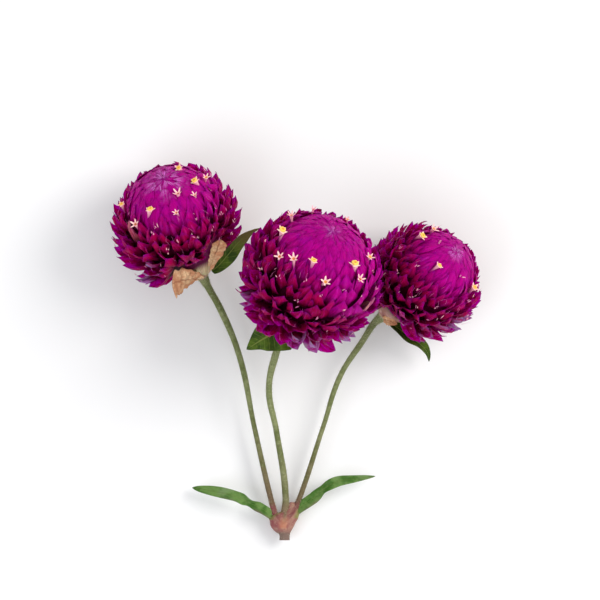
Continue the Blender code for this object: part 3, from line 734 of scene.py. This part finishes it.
def spikes(feet, ways, lengths, thick, bend, tone):
    """Three-sided hairs or slivers, thick near the foot and pointed at the end.

    Each runs from its foot along its way and bends to one side with the square of the share of its length."""
    s = np.linspace(0.0, 1.0, 5)
    way = unit(ways)
    side = unit(np.cross(way, np.array([0.42, -0.27, 0.86])))
    other = np.cross(way, side)
    far = lengths[:, None] * s
    along = placed(feet, (way, far), (side, bend[:, None] * far * s))
    width = thick[:, None] * np.array([0.0, 1.0, 0.9, 0.6, 0.0])
    points = along[:, :, None] + spokes(side, other, circle(3))[:, None] * width[:, :, None, None]
    return points, {"along": s[None, :, None], "tone": each(tone)}


def head_slivers(name):
    """Withered floret tips and loose hairs: three tips at each marked place, the rest strewn on the ball."""
    head = HEADS[name]
    rng = np.random.default_rng(head["seed"] + 100)
    centre, axes = head_axes(head)
    flat = np.repeat(np.array(WITHERED[name]), 3, axis=0)
    flat = flat + rng.normal(0.0, 0.18, flat.shape)
    ball = head["radius"] * rng.uniform(*WITHERED_DEPTH, len(flat))
    away = onto_ball(flat, ball)
    ways = unit(away) + 1.3 * direction(*head["top"]) + rng.normal(0.0, 0.5, away.shape)
    grids = [
        spikes(
            centre + away, ways, rng.uniform(0.6, 1.1, len(flat)), rng.uniform(0.08, 0.14, len(flat)),
            rng.uniform(-0.3, 0.3, len(flat)), rng.uniform(0.3, 1.0, len(flat)),
        )
    ]
    for count, length, thick, depth, tone in STREWN:
        polar = np.arccos(rng.uniform(*np.cos(STREWN_POLAR), count))
        azimuth = rng.uniform(0.0, math.tau, count)
        away = polar_points(1.0, polar, azimuth)
        meridian = unit(polar_points(1.0, polar - 0.4, azimuth) - away)
        feet = centre + (away * (head["radius"] * rng.uniform(*depth, count))[:, None]) @ axes.T
        ways = (away * rng.uniform(0.25, 0.6, count)[:, None] + meridian) @ axes.T
        ways = ways + rng.normal(0.0, 0.22, (count, 3))
        seen = feet[:, 2] > STREWN_HEIGHT
        grids.append(
            spikes(
                feet[seen], ways[seen], rng.uniform(*length, count)[seen], rng.uniform(*thick, count)[seen],
                rng.uniform(-0.3, 0.3, count)[seen], tone * rng.uniform(0.25, 1.0, count)[seen],
            )
        )
    return grids


def auto_line(points, rows):
    """A smooth line through points: cubic pieces whose handles follow the neighbours, shortened by distance.

    A handle runs along the sum of the unit steps before and after its point, and its length is the step's
    length over 2.5614. Returns the places and the radii there."""
    p = np.array([place for place, _ in points], float)
    step_in = np.vstack([p[1] - p[0], np.diff(p, axis=0)])
    step_out = np.vstack([np.diff(p, axis=0), p[-1] - p[-2]])
    long_in = np.linalg.norm(step_in, axis=-1, keepdims=True)
    long_out = np.linalg.norm(step_out, axis=-1, keepdims=True)
    way = unit(step_in / long_in + step_out / long_out)
    before, after = p - way * long_in / 2.5614, p + way * long_out / 2.5614
    place = np.linspace(0.0, len(p) - 1.0, rows)
    i = np.minimum(place.astype(int), len(p) - 2)
    t = (place - i)[:, None]
    line = (
        p[i] * (1 - t) ** 3
        + 3 * after[i] * t * (1 - t) ** 2
        + 3 * before[i + 1] * t * t * (1 - t)
        + p[i + 1] * t**3
    )
    radii = np.array([radius for _, radius in points])
    return line, mix(radii[i], radii[i + 1], smooth(0.0, 1.0, t[:, 0]))


def catmull(points, share):
    """Values and their rates of change on the smooth line through the given points, at given shares."""
    p = np.array(points, float)
    last = len(p) - 1
    place = np.minimum(share * last, last - 1e-6)
    i = place.astype(int)
    t = (place - i)[:, None]
    p0, p1, p2, p3 = (p[np.clip(i + step, 0, last)] for step in (-1, 0, 1, 2))
    square = 2.0 * p0 - 5.0 * p1 + 4.0 * p2 - p3
    cube = 3.0 * p1 - p0 - 3.0 * p2 + p3
    spot = 0.5 * (2.0 * p1 + (p2 - p0) * t + square * t * t + cube * t**3)
    return spot, 0.5 * ((p2 - p0) + 2.0 * square * t + 3.0 * cube * t * t)


def joint_grid(tubes):
    """The joint: a ring across the stem for each place along it.

    In each direction from its middle a ring reaches as far as the largest of several members, blended by
    the seventh root of the sum of their seventh powers: an oval, the three stalks and the two leaf bases.
    A leaf base counts with its radius plus how far it stands in that direction, and so does a stalk with
    a little less than its radius, so that it comes out of the joint's surface."""
    rows, ring, power = 60, 72, 7.0
    section = catmull(JOINT, np.linspace(0.0, 1.0, rows))[0]
    y, x, z, wide, tall = (section[:, [i]] for i in range(5))
    angle = circle(ring)[None]
    east, up = np.cos(angle), np.sin(angle)
    oval = wide * tall / np.sqrt((tall * east) ** 2 + (wide * up) ** 2)

    def member(line, radius, start, end):
        """How far a member reaches in each direction, fading in at its start and out at its end."""
        at = [np.interp(y, line[:, 0], line[:, i]) for i in (1, 2)]
        reach = (at[0] - x) * east + (at[1] - z) * up + radius
        weight = smooth(start, start + 1.6, y) * (1.0 - smooth(end - 0.8, end + 2.2, y))
        return np.maximum(reach, 0.0) * weight

    stalks = [
        member(line[:, [1, 0, 2]], np.interp(y, line[:, 1], radii) - 0.05, STALK_START, end)
        for (line, radii), end in zip(tubes, STALK_ENDS)
    ]
    leaf_bases = [member(np.array(line), radius, LEAF_BASE_START, end) for line, radius, end in LEAF_BASES]
    stalk_part = sum(reach**power for reach in stalks)
    leaf_part = sum(reach**power for reach in leaf_bases)
    total = oval**power + stalk_part + leaf_part
    wrinkle = 1.0 + 0.012 * np.sin(angle * 11.0 + y * 0.8) * smooth(-37.0, -35.0, y)
    far = total ** (1.0 / power) * wrinkle
    points = np.stack(np.broadcast_arrays(x + far * east, y, z + far * up), -1)
    ends = [np.broadcast_to(points[i].mean(axis=0), (1, ring, 3)) for i in (0, -1)]
    points = np.concatenate([ends[0], points, ends[1]])
    share = np.linspace(0.0, 1.0, rows + 2)[:, None]

    def padded(value):
        """A ring's values, with the first and last ones again for the closed ends."""
        return np.pad(value, ((1, 1), (0, 0)), mode="edge")[None]

    grown = smooth(-36.2, -32.2, y)
    streaks = [
        np.exp(-(((x + far * east - mix(x, np.interp(y, line[:, 1], line[:, 0]), grown)) / 0.5) ** 2)) * grown
        for line, _ in tubes
    ]
    values = {
        "along": share[None], "aside": up[None], "east": east[None], "joint": 1.0,
        "stalky": padded(sum(streaks)), "leafy": padded(leaf_part / total),
        "brown": padded(sum(s * b for s, b in zip(streaks, BROWN)) / (sum(streaks) + 1e-6)),
    }
    return points[None], values


def sweep(line, radii, ring, phase):
    """A round tube carried along a line, with ribs: the radius swings by sines of the angle about the line.

    Both ends are closed by a row of no radius."""
    run = unit(np.gradient(line, axis=0))
    side = unit(np.cross(run, np.array([0.0, 0.0, 1.0])))
    up = np.cross(side, run)
    angle = circle(ring)
    share = np.linspace(0.0, 1.0, len(line))[:, None]
    swing = 1.0 + RIB_DEPTH * np.cos(RIBS * angle + phase + 2.0 * np.sin(share * 5.0))
    swing = swing + 0.5 * RIB_DEPTH * np.sin(2 * angle + share * 37.0)
    rim = line[:, None] + spokes(side, up, angle) * (radii[:, None] * swing)[..., None]
    return np.concatenate([np.repeat(line[:1, None], ring, 1), rim, np.repeat(line[-1:, None], ring, 1)])


def stalk_line(name):
    """The stalk's points from the joint, then along the head's axis through the neck to its foot."""
    head = HEADS[name]
    centre, axes = head_axes(head)
    axis = axes[:, 2]
    top = centre - axis * (BASE_DEPTH * head["radius"] + 0.1)
    neck = (
        (top - axis * NECK_LENGTH, STALK_TOP_RADIUS),
        (top - axis * NECK_LENGTH * 0.35, NECK_RADIUS * 0.75),
        (top, NECK_RADIUS),
    )
    return STALKS[name] + neck


def tube_hairs(rim, count, length, seed):
    """Down on a tube: a hair at random grid points of it, leaning off the surface towards its far end."""
    rng = np.random.default_rng(seed)
    rows, ring = rim.shape[:2]
    row = rng.integers(2, rows - 3, count)
    spot = rng.integers(0, ring, count)
    share = rng.uniform(0.0, 1.0, (count, 1))
    feet = mix(rim[row, spot], rim[row + 1, spot], share)
    middle = mix(rim[row].mean(axis=1), rim[row + 1].mean(axis=1), share)
    ways = unit(feet - middle) + 0.5 * unit(rim[row + 1, spot] - rim[row, spot])
    ways = ways + rng.normal(0.0, 0.3, (count, 3))
    return spikes(
        feet, ways, rng.uniform(0.6, 1.2, count) * length, np.full(count, HAIR_THICK),
        rng.uniform(-0.4, 0.4, count), np.zeros(count),
    )


def leaf_grid(shape, rows, ring, crinkle, seed):
    """A leaf as a closed ring for each place along its midrib: a thin lens folded about the midrib.

    Its width rises as a sine from the foot to the widest place and falls as a power to the tip. It turns from
    base to tip and rolls on its side where it is told to. The edges ripple, the veins are sunk a little, and
    a dry scale is crinkled by crossed sines."""
    along = np.linspace(0.0, 1.0, rows)
    around = circle(ring)
    spot, run = catmull(shape["line"], along)
    run = unit(run)
    flat = unit(np.cross(run, unit(np.array(shape["face"], float))))
    normal = np.cross(flat, run)
    place, rolled = shape["roll"]
    turn = mix(*shape["turn"], along) + rolled * np.exp(-(((along - place) / ROLL_REACH) ** 2))
    across, up = swung(flat, normal, turn[:, None])
    rise = mix(shape["foot"], 1.0, np.sin(math.pi / 2.0 * np.minimum(1.0, along / shape["widest"])))
    fall = np.maximum(0.0, (along - shape["widest"]) / (1.0 - shape["widest"])) ** shape["taper"]
    rng = np.random.default_rng(seed)
    phase = rng.uniform(0.0, math.tau, 4)
    notch = 1.0 + 0.05 * crinkle * np.sin(along * 41.0 + phase[0])
    wide = (shape["half_width"] * rise * (1.0 - fall) * notch * (along > 0.0))[:, None]
    x = np.cos(around)[None]
    a = along[:, None]
    ripple = shape["ripple"] * np.sin(a * 9.0 + 1.3) * x * (1.0 - a)
    ripple = ripple + 0.10 * wide * np.sin(a * 17.0 + phase[1] + x) * np.abs(x) ** 2
    bent = np.sqrt(x * x + 0.01) - 0.1
    vein = np.cos(math.tau * (a * VEINS - np.abs(x) * VEIN_SLANT)) ** 8 * np.abs(x) * (1.0 - np.abs(x)) * 4.0
    height = shape["fold"] * wide * bent + ripple - 0.05 * vein
    dents = np.sin(a * 23.0 + 5.0 * x + phase[2]) * np.sin(a * 11.0 - 7.0 * x + phase[3])
    height = height + crinkle * 0.16 * dents * wide**0.5
    height = height + LEAF_THICK * np.sin(around) * np.minimum(1.0, wide / 0.4)
    points = placed(spot, (across, wide * x), (up, height))
    values = {
        "along": a, "aside": x, "outer": np.sin(around)[None], "tone": shape["tone"],
        "south": -across[:, 1, None] * x,
    }
    return points, values


# Materials


class Shade:
    """One output of a material's nodes. Sums and products with numbers or other outputs add Math nodes."""

    def __init__(self, material, socket=None):
        self.material = material
        self.socket = socket

    def feed(self, node, sockets):
        """Gives a node's sockets their values or links."""
        for name, value in sockets.items():
            if isinstance(value, Shade):
                self.material.node_tree.links.new(value.socket, node.inputs[name])
            else:
                node.inputs[name].default_value = value

    def node(self, kind, sockets, output=0, **settings):
        """Adds a node: its settings first, then its sockets."""
        made = self.material.node_tree.nodes.new("ShaderNode" + kind)
        for name, value in settings.items():
            setattr(made, name, value)
        self.feed(made, sockets)
        return Shade(self.material, made.outputs[output])

    def math(self, operation, *values):
        return self.node("Math", dict(enumerate(values)), operation=operation)

    def __add__(self, other):
        return self.math("ADD", self, other)

    __radd__ = __add__

    def __mul__(self, other):
        return self.math("MULTIPLY", self, other)

    __rmul__ = __mul__

    def __sub__(self, other):
        return self.math("SUBTRACT", self, other)

    def __rsub__(self, other):
        return self.math("SUBTRACT", other, self)

    def between(self, low, high):
        """A smooth step: 0 at low and 1 at high."""
        return self.node(
            "MapRange", {"Value": self, "From Min": low, "From Max": high}, interpolation_type="SMOOTHSTEP"
        )

    def attribute(self, name):
        """A value that the mesh carries."""
        return self.node("Attribute", {}, output="Fac", attribute_name=name)

    def attributes(self, *names):
        """Several values that the mesh carries."""
        return [self.attribute(name) for name in names]

    def vector(self, x, y, z):
        return self.node("CombineXYZ", {"X": x, "Y": y, "Z": z})

    def place(self):
        return self.node("TexCoord", {}, output="Object")

    def noise(self, where, scale, detail=2.0, roughness=0.5):
        return self.node(
            "TexNoise", {"Vector": where, "Scale": scale, "Detail": detail, "Roughness": roughness}
        )

    def blend(self, share, first, second):
        """A colour between two, by a share."""
        return self.node("Mix", {0: share, 6: first, 7: second}, output=2, data_type="RGBA")

    def layers(self, colour, *over):
        """A colour with others laid over it in turn, each by its own share."""
        for share, second in over:
            colour = self.blend(share, colour, second)
        return colour


def rgb(red, green, blue):
    """A screen colour of 0 to 255 as linear light."""
    value = np.array([red, green, blue]) / 255.0
    linear = np.where(value <= 0.04045, value / 12.92, ((value + 0.055) / 1.055) ** 2.4)
    return (*(float(v) for v in linear), 1.0)


def new_shade(name):
    """The start of a new material."""
    material = bpy.data.materials.new(name)
    material.use_nodes = True
    return Shade(material)


def finished(shade, specular, colour, roughness, relief=None, depth=0.0, **others):
    """The material, with its Principled shader fed: a colour, a roughness, a relief's depth in metres."""
    sockets = {"Specular IOR Level": specular, "Base Color": colour, "Roughness": roughness, **others}
    if relief is not None:
        sockets["Normal"] = shade.node("Bump", {"Height": relief, "Strength": 1.0, "Distance": depth})
    shade.feed(shade.material.node_tree.nodes["Principled BSDF"], sockets)
    return shade.material


def bract_material():
    """Papery magenta bracts: painted shade at the root, violet tips and edges, fine nerves along them."""
    shade = new_shade("magenta_bracts")
    along, aside, outer = shade.attributes("along", "aside", "outer")
    low, tone, lower = shade.attributes("low", "tone", "opened")
    shimmer, pale, tan = shade.attributes("shimmer", "faded", "dried")
    core = outer.between(1.4, 1.8)
    edge = shade.math("ABSOLUTE", aside)
    nerves = shade.noise(shade.vector(aside * 9.0, along * 1.4, tone * 7.0), 1.0, 3.0, 0.6)
    patches = shade.noise(shade.place(), 420.0, 2.0, 0.5)
    keel = 1.0 - edge.between(0.0, 0.35)
    # Lower down the bracts turn redder and darker, partly their own colour and partly painted shade; the
    # painted shade at their roots grows with it, and on the east side, painted lighter, it starts further
    # down.
    lower_red_and_shade = low.between(0.20, 0.38)
    tip = along.between(0.84, 1.0) + edge.between(0.75, 1.0) * along.between(0.5, 0.9) * 0.4
    glint = shimmer * nerves.between(0.46, 0.57) * along.between(0.66, 0.90)
    # Painted shade: darker towards the root, where a bract lies in the gap under the next one; less on its
    # inner face.
    painted_root_shade = (1.0 - along.between(0.20, mix(0.5, 0.88, lower))) * mix(0.3, 1.0, outer.between(-0.4, 0.2))
    faded = pale * along.between(0.45, 0.85) * patches.between(0.36, 0.52)
    dried = tan * along.between(0.3, 0.6) * patches.between(0.30, 0.48)
    receptacle = shade.layers(
        rgb(230, 212, 172),
        (nerves.between(0.4, 0.6), rgb(190, 162, 126)),
        (tone, shade.blend(patches.between(0.4, 0.6), rgb(196, 156, 148), rgb(160, 104, 100))),
    )
    body = shade.layers(
        rgb(180, 0, 132),
        # Redder and darker lower down: own colour and painted shade.
        (lower_red_and_shade, rgb(164, 0, 60)),
        (nerves.between(0.42, 0.66) * mix(0.35, 0.6, lower), rgb(116, 0, 56)),
        (nerves.between(0.46, 0.34) * 0.5, rgb(206, 6, 156)),
        (tone.between(-0.4, 1.4) * 0.35, rgb(140, 0, 62)),
        (patches.between(0.55, 0.72) * mix(0.32, 0.15, lower_red_and_shade), rgb(140, 0, 140)),
        # Painted highlight: a lighter pink along the keels of the open bracts.
        (keel * lower * patches.between(0.44, 0.56) * mix(0.4, 0.12, lower_red_and_shade), rgb(214, 50, 190)),
        (shade.math("MINIMUM", tip * mix(0.10, 0.52, lower), 0.6), rgb(92, 10, 136)),
        (glint * tone.between(-0.15, 0.1) * 0.9, rgb(244, 136, 238)),
        # Painted shade at the roots, stronger lower down.
        (painted_root_shade * mix(0.12, 0.94, lower_red_and_shade), rgb(64, 0, 28)),
        (faded * 0.75, rgb(150, 128, 182)),
        (dried * 0.85, shade.blend(nerves, rgb(226, 150, 140), rgb(184, 100, 108))),
        # Painted shade: the open core between the bracts is painted dark burgundy.
        (core, shade.blend(lower, rgb(150, 0, 104), rgb(50, 0, 20))),
        (core * low.between(0.78, 0.88), receptacle),
    )
    light = {
        "Specular Tint": (1.0, 0.35, 0.95, 1.0), "Subsurface Weight": 0.35,
        "Subsurface Radius": (1.0, 0.1, 0.6), "Subsurface Scale": 0.0012,
    }
    return finished(shade, 0.06, body, 0.40 + nerves * 0.25, nerves + edge * 0.2, 0.00014, **light)


def floret_material():
    """Cream and pink florets: a pale tube, cream lobes and an orange throat, or a yellow cup."""
    shade = new_shade("floret")
    along, yellow, tone = shade.attributes("along", "yellow", "tone")
    grain = shade.noise(shade.place(), 2600.0, 2.0)
    body = shade.layers(
        rgb(186, 30, 140),
        (along.between(0.15, 0.56), rgb(246, 176, 190)),
        (along.between(0.6, 0.95), rgb(255, 208, 204)),
        (tone.between(0.3, 1.6) * 0.8, rgb(240, 156, 176)),
        (along.between(1.02, 1.28), rgb(206, 120, 62)),
        (yellow * along.between(1.02, 1.10), rgb(250, 208, 96)),
        # Painted shade: the middle of a yellow cup is a darker orange, for the shade in its hollow.
        (yellow * along.between(1.30, 1.44), rgb(222, 146, 44)),
    )
    return finished(shade, 0.3, body, 0.5 + grain * 0.2, grain, 0.00003)


def sliver_material():
    """Withered tips and loose hairs: dark pink at the foot, rose to pale pink above it."""
    shade = new_shade("withered_tips")
    along, tone = shade.attributes("along", "tone")
    grain = shade.noise(shade.place(), 1500.0, 1.0)
    body = shade.blend(tone.between(0.2, 1.0), rgb(236, 128, 190), rgb(255, 196, 204))
    body = shade.blend(along.between(0.0, 0.5), rgb(170, 40, 110), body)
    return finished(shade, 0.3, body, 0.55 + grain * 0.1)


def stalk_material():
    """Downy grey-green stalks that turn brown towards a pink and cream joint with burgundy streaks."""
    shade = new_shade("downy_stalk")
    along, aside, joint, stalky = shade.attributes("along", "aside", "joint", "stalky")
    leafy, east, brown = shade.attributes("leafy", "east", "brown")
    fibre = shade.noise(shade.vector(aside * 2.4, along * 40.0, joint * 3.0), 3.0, 4.0, 0.65)
    grain = shade.noise(shade.place(), 1400.0, 4.0, 0.7)
    patches = shade.noise(shade.place(), 330.0, 3.0, 0.6)
    green = shade.layers(
        rgb(104, 114, 66),
        (patches.between(0.32, 0.68), rgb(138, 146, 100)),
        (grain.between(0.52, 0.70) * 0.45, rgb(176, 180, 140)),
        (fibre.between(0.48, 0.66) * 0.55, rgb(70, 72, 46)),
        (brown * patches.between(0.18, 0.50), rgb(98, 62, 52)),
        (along.between(0.89, 0.98), rgb(196, 170, 146)),
    )
    streaks = shade.noise(shade.vector(aside * 4.0, along * 3.0, stalky * 2.0), 1.0, 3.0, 0.6)
    warm = along.between(0.26, 0.36) * (1.0 - along.between(0.46, 0.58)) * east.between(-0.5, 0.0)
    warm = warm * (1.0 - east.between(0.25, 0.65))
    side = shade.math("ABSOLUTE", east).between(0.62, 0.92) * (1.0 - along.between(0.72, 0.80))
    stub = (1.0 - along.between(0.12, 0.36)) * (1.0 - stalky.between(0.4, 0.9))
    stalk_end = shade.blend(brown.between(0.4, 0.8), rgb(116, 112, 78), rgb(112, 52, 58))
    pink = shade.layers(
        rgb(146, 84, 84),
        (east.between(-0.5, 0.3), rgb(162, 116, 102)),
        (warm * 0.8, rgb(194, 126, 96)),
        (patches.between(0.45, 0.65) * 0.5, rgb(176, 136, 116)),
        (streaks.between(0.46, 0.62) * 0.55, rgb(136, 62, 72)),
        (grain.between(0.50, 0.70) * 0.25, rgb(206, 178, 156)),
        (stalky.between(0.2, 1.0) * 0.7, stalk_end),
        (leafy.between(0.15, 0.5) * side * 0.85, rgb(126, 134, 70)),
        (stub, rgb(126, 104, 94)),
    )
    body = shade.blend(joint, green, pink)
    return finished(shade, 0.2, body, 0.62 + fibre * 0.2, fibre + patches * 0.5, 0.00012)


def down_material():
    """Pale hairs, a little darker at the foot and uneven from place to place."""
    shade = new_shade("down")
    patches = shade.noise(shade.place(), 500.0, 2.0)
    body = shade.layers(
        rgb(186, 188, 150),
        (patches.between(0.35, 0.65), rgb(222, 220, 196)),
        ((1.0 - shade.attribute("along").between(0.0, 0.4)) * 0.5, rgb(130, 134, 96)),
    )
    return finished(shade, 0.2, body, 0.65 + patches * 0.1)


def leaf_material(name, blade, patch, rib, under, rim):
    """A leaf: patches of two greens, a pale midrib, side veins that branch off it, and a paler underside.

    Its tone picks the kind: at 1 the leaves at the joint, fresher and with a bloom, and at -1 a brown tip."""
    shade = new_shade(name)
    along, aside, outer, tone, south = shade.attributes("along", "aside", "outer", "tone", "south")
    wide = shade.math("ABSOLUTE", aside)
    patches = shade.noise(shade.place(), 420.0, 4.0, 0.6)
    fine = shade.noise(shade.place(), 2400.0, 3.0, 0.6)
    branch = shade.math("COSINE", (along * VEINS - wide * VEIN_SLANT) * math.tau)
    vein = branch.between(0.86, 1.0) * (1.0 - wide.between(0.75, 1.0)) * 0.45
    vein = shade.math("MAXIMUM", vein, 1.0 - wide.between(0.03, 0.09))
    joint, tipped = tone.between(0.5, 1.0), tone.between(-0.5, -1.0)
    bloom = shade.noise(shade.place(), 160.0, 2.0).between(0.45, 0.62)
    brighter = shade.blend(patches.between(0.40, 0.60), rgb(66, 116, 40), rgb(112, 150, 84))
    body = shade.layers(
        blade,
        (patches.between(0.40, 0.62), patch),
        (fine.between(0.45, 0.7) * 0.35, rim),
        (vein * 0.7, rib),
        (wide.between(0.86, 1.0) * 0.5, rim),
        ((1.0 - outer.between(-0.3, 0.1)) * 0.65, under),
        (joint * 0.6, brighter),
        (joint * bloom * along.between(0.25, 0.5) * 0.55, rgb(128, 142, 112)),
        (joint * south.between(0.2, 1.0) * bloom * 0.7, rgb(124, 96, 92)),
        (tipped * along.between(0.40, 0.85) * 0.8, rgb(116, 100, 56)),
    )
    return finished(shade, 0.18, body, 0.5 + fine * 0.25, fine * 0.6 - vein, 0.00010)


def floor_material():
    """A plain pale floor with a hardly visible grain."""
    shade = new_shade("pale_floor")
    grain = shade.noise(shade.place(), 30.0, 3.0)
    body = shade.blend(grain, (0.90, 0.90, 0.90, 1.0), (0.93, 0.93, 0.93, 1.0))
    return finished(shade, 0.1, body, 0.8 + grain * 0.1)


# Pieces


def make_stem():
    """The joint and the three stalks, each a ribbed tube, with down on them. Returns the stalks' lines."""
    grids, hairs, tubes = [], [], []
    for number, name in enumerate(HEADS):
        line, radii = auto_line(stalk_line(name), STALK_ROWS)
        body = sweep(line, radii, STALK_RING, number * 1.7)
        angle = circle(STALK_RING)[None, None]
        share = np.linspace(0.0, 1.0, STALK_ROWS + 2)[None, :, None]
        values = {
            "along": share, "aside": np.sin(angle), "east": np.cos(angle), "stalky": 1.0, "leafy": 0.0,
            "joint": 1.0 - smooth(0.06, 0.16, share),
            "brown": (1.0 - smooth(*BROWN_END, share)) * BROWN[number],
        }
        grids.append((body[None], values))
        hairs.append(tube_hairs(body[1:-1], *STALK_DOWN, 40 + number))
        tubes.append((line, radii))
    joint = joint_grid(tubes)
    make_piece("stem_and_joint", [joint] + grids, stalk_material(), ["stem"])
    hairs.append(tube_hairs(joint[0][0, 1:-1], *JOINT_DOWN, 3))
    make_piece("stem_down", hairs, down_material())
    return tubes


def make_leaves():
    """All leaves and dry scales. Returns the points that bracts keep clear of."""
    green = leaf_material(
        "green_leaf", rgb(42, 70, 4), rgb(80, 106, 20), rgb(136, 150, 70), rgb(104, 124, 74),
        rgb(66, 74, 22),
    )
    dry = leaf_material(
        "dry_scale", rgb(236, 196, 152), rgb(210, 148, 108), rgb(168, 104, 74), rgb(204, 160, 124),
        rgb(150, 92, 66),
    )
    obstacles = []
    for number, (name, own) in enumerate(LEAVES.items()):
        shape = {**USUAL_LEAF, **own}
        is_dry = name.startswith("dry")
        crinkle = 1.0 if is_dry else 0.0
        points, values = leaf_grid(shape, *LEAF_GRID, crinkle, 60 + number)
        make_piece(name + "_blade", [(points[None], values)], dry if is_dry else green,
                   [name])
        coarse = leaf_grid(shape, *LEAF_SAMPLES, crinkle, 60 + number)[0]
        obstacles.append((coarse.reshape(-1, 3), LEAF_CLEARANCE, is_dry))
    return obstacles


def make_heads(obstacles):
    """The three heads: bracts on a core, florets, withered tips and loose hairs."""
    magenta, pale, withered = bract_material(), floret_material(), sliver_material()
    middle = HEADS["middle"]
    ball = (np.array(middle["centre"]), middle["radius"] + BALL_CLEARANCE)
    for name, head in HEADS.items():
        balls = [] if name == "middle" else [ball]
        make_piece("bracts_" + name, [bracts(name, obstacles, balls), core_grid(head)], magenta,
                   ["head_" + name])
        make_piece("florets_" + name, [floret_grid(*floret_tops(name), head["seed"] + 7)], pale)
        make_piece("withered_tips_" + name, head_slivers(name), withered)


def area_light(name, place, size, power, colour):
    """A round soft light that looks at the target, of a width in metres and a power in watts."""
    light = bpy.data.lights.new(name, "AREA")
    light.shape = "DISK"
    light.size = size
    light.energy = power
    light.color = colour
    obj = bpy.data.objects.new(name, light)
    obj.location = place
    obj.rotation_euler = (Vector(TARGET) - obj.location).to_track_quat("-Z", "Y").to_euler()
    bpy.context.scene.collection.objects.link(obj)


def make_studio():
    """A pale floor, a soft key light from the heads' side, a weak fill, and the camera straight above."""
    mesh = bpy.data.meshes.new("floor")
    corners = [(x * FLOOR_HALF, y * FLOOR_HALF, 0.0) for x, y in ((-1, -1), (1, -1), (1, 1), (-1, 1))]
    mesh.from_pydata(corners, [], [(0, 1, 2, 3)])
    mesh.materials.append(floor_material())
    floor = bpy.data.objects.new("floor", mesh)
    bpy.context.scene.collection.objects.link(floor)
    for name, light in LIGHTS.items():
        area_light(name, *light)
    scene = bpy.context.scene
    world = bpy.data.worlds.new("studio")
    world.use_nodes = True
    background = world.node_tree.nodes["Background"]
    background.inputs["Color"].default_value = (1.0, 1.0, 1.0, 1.0)
    background.inputs["Strength"].default_value = SKY_STRENGTH
    scene.world = world
    scene.view_settings.view_transform = "Standard"
    camera = bpy.data.objects.new("camera", bpy.data.cameras.new("camera"))
    camera.data.lens = LENS
    camera.data.sensor_width = SENSOR
    camera.location = CAMERA_PLACE
    scene.collection.objects.link(camera)
    scene.camera = camera


make_studio()
stem_tubes = make_stem()
kept_clear = make_leaves()
for side, (tube_line, _) in zip(HEADS, stem_tubes):
    kept_clear.append((tube_line[NEAR_ROW::3], STALK_CLEARANCE, False))
    kept_clear.append((tube_line[NECK_ROW::2], NECK_CLEARANCE, side != "middle"))
make_heads(kept_clear)
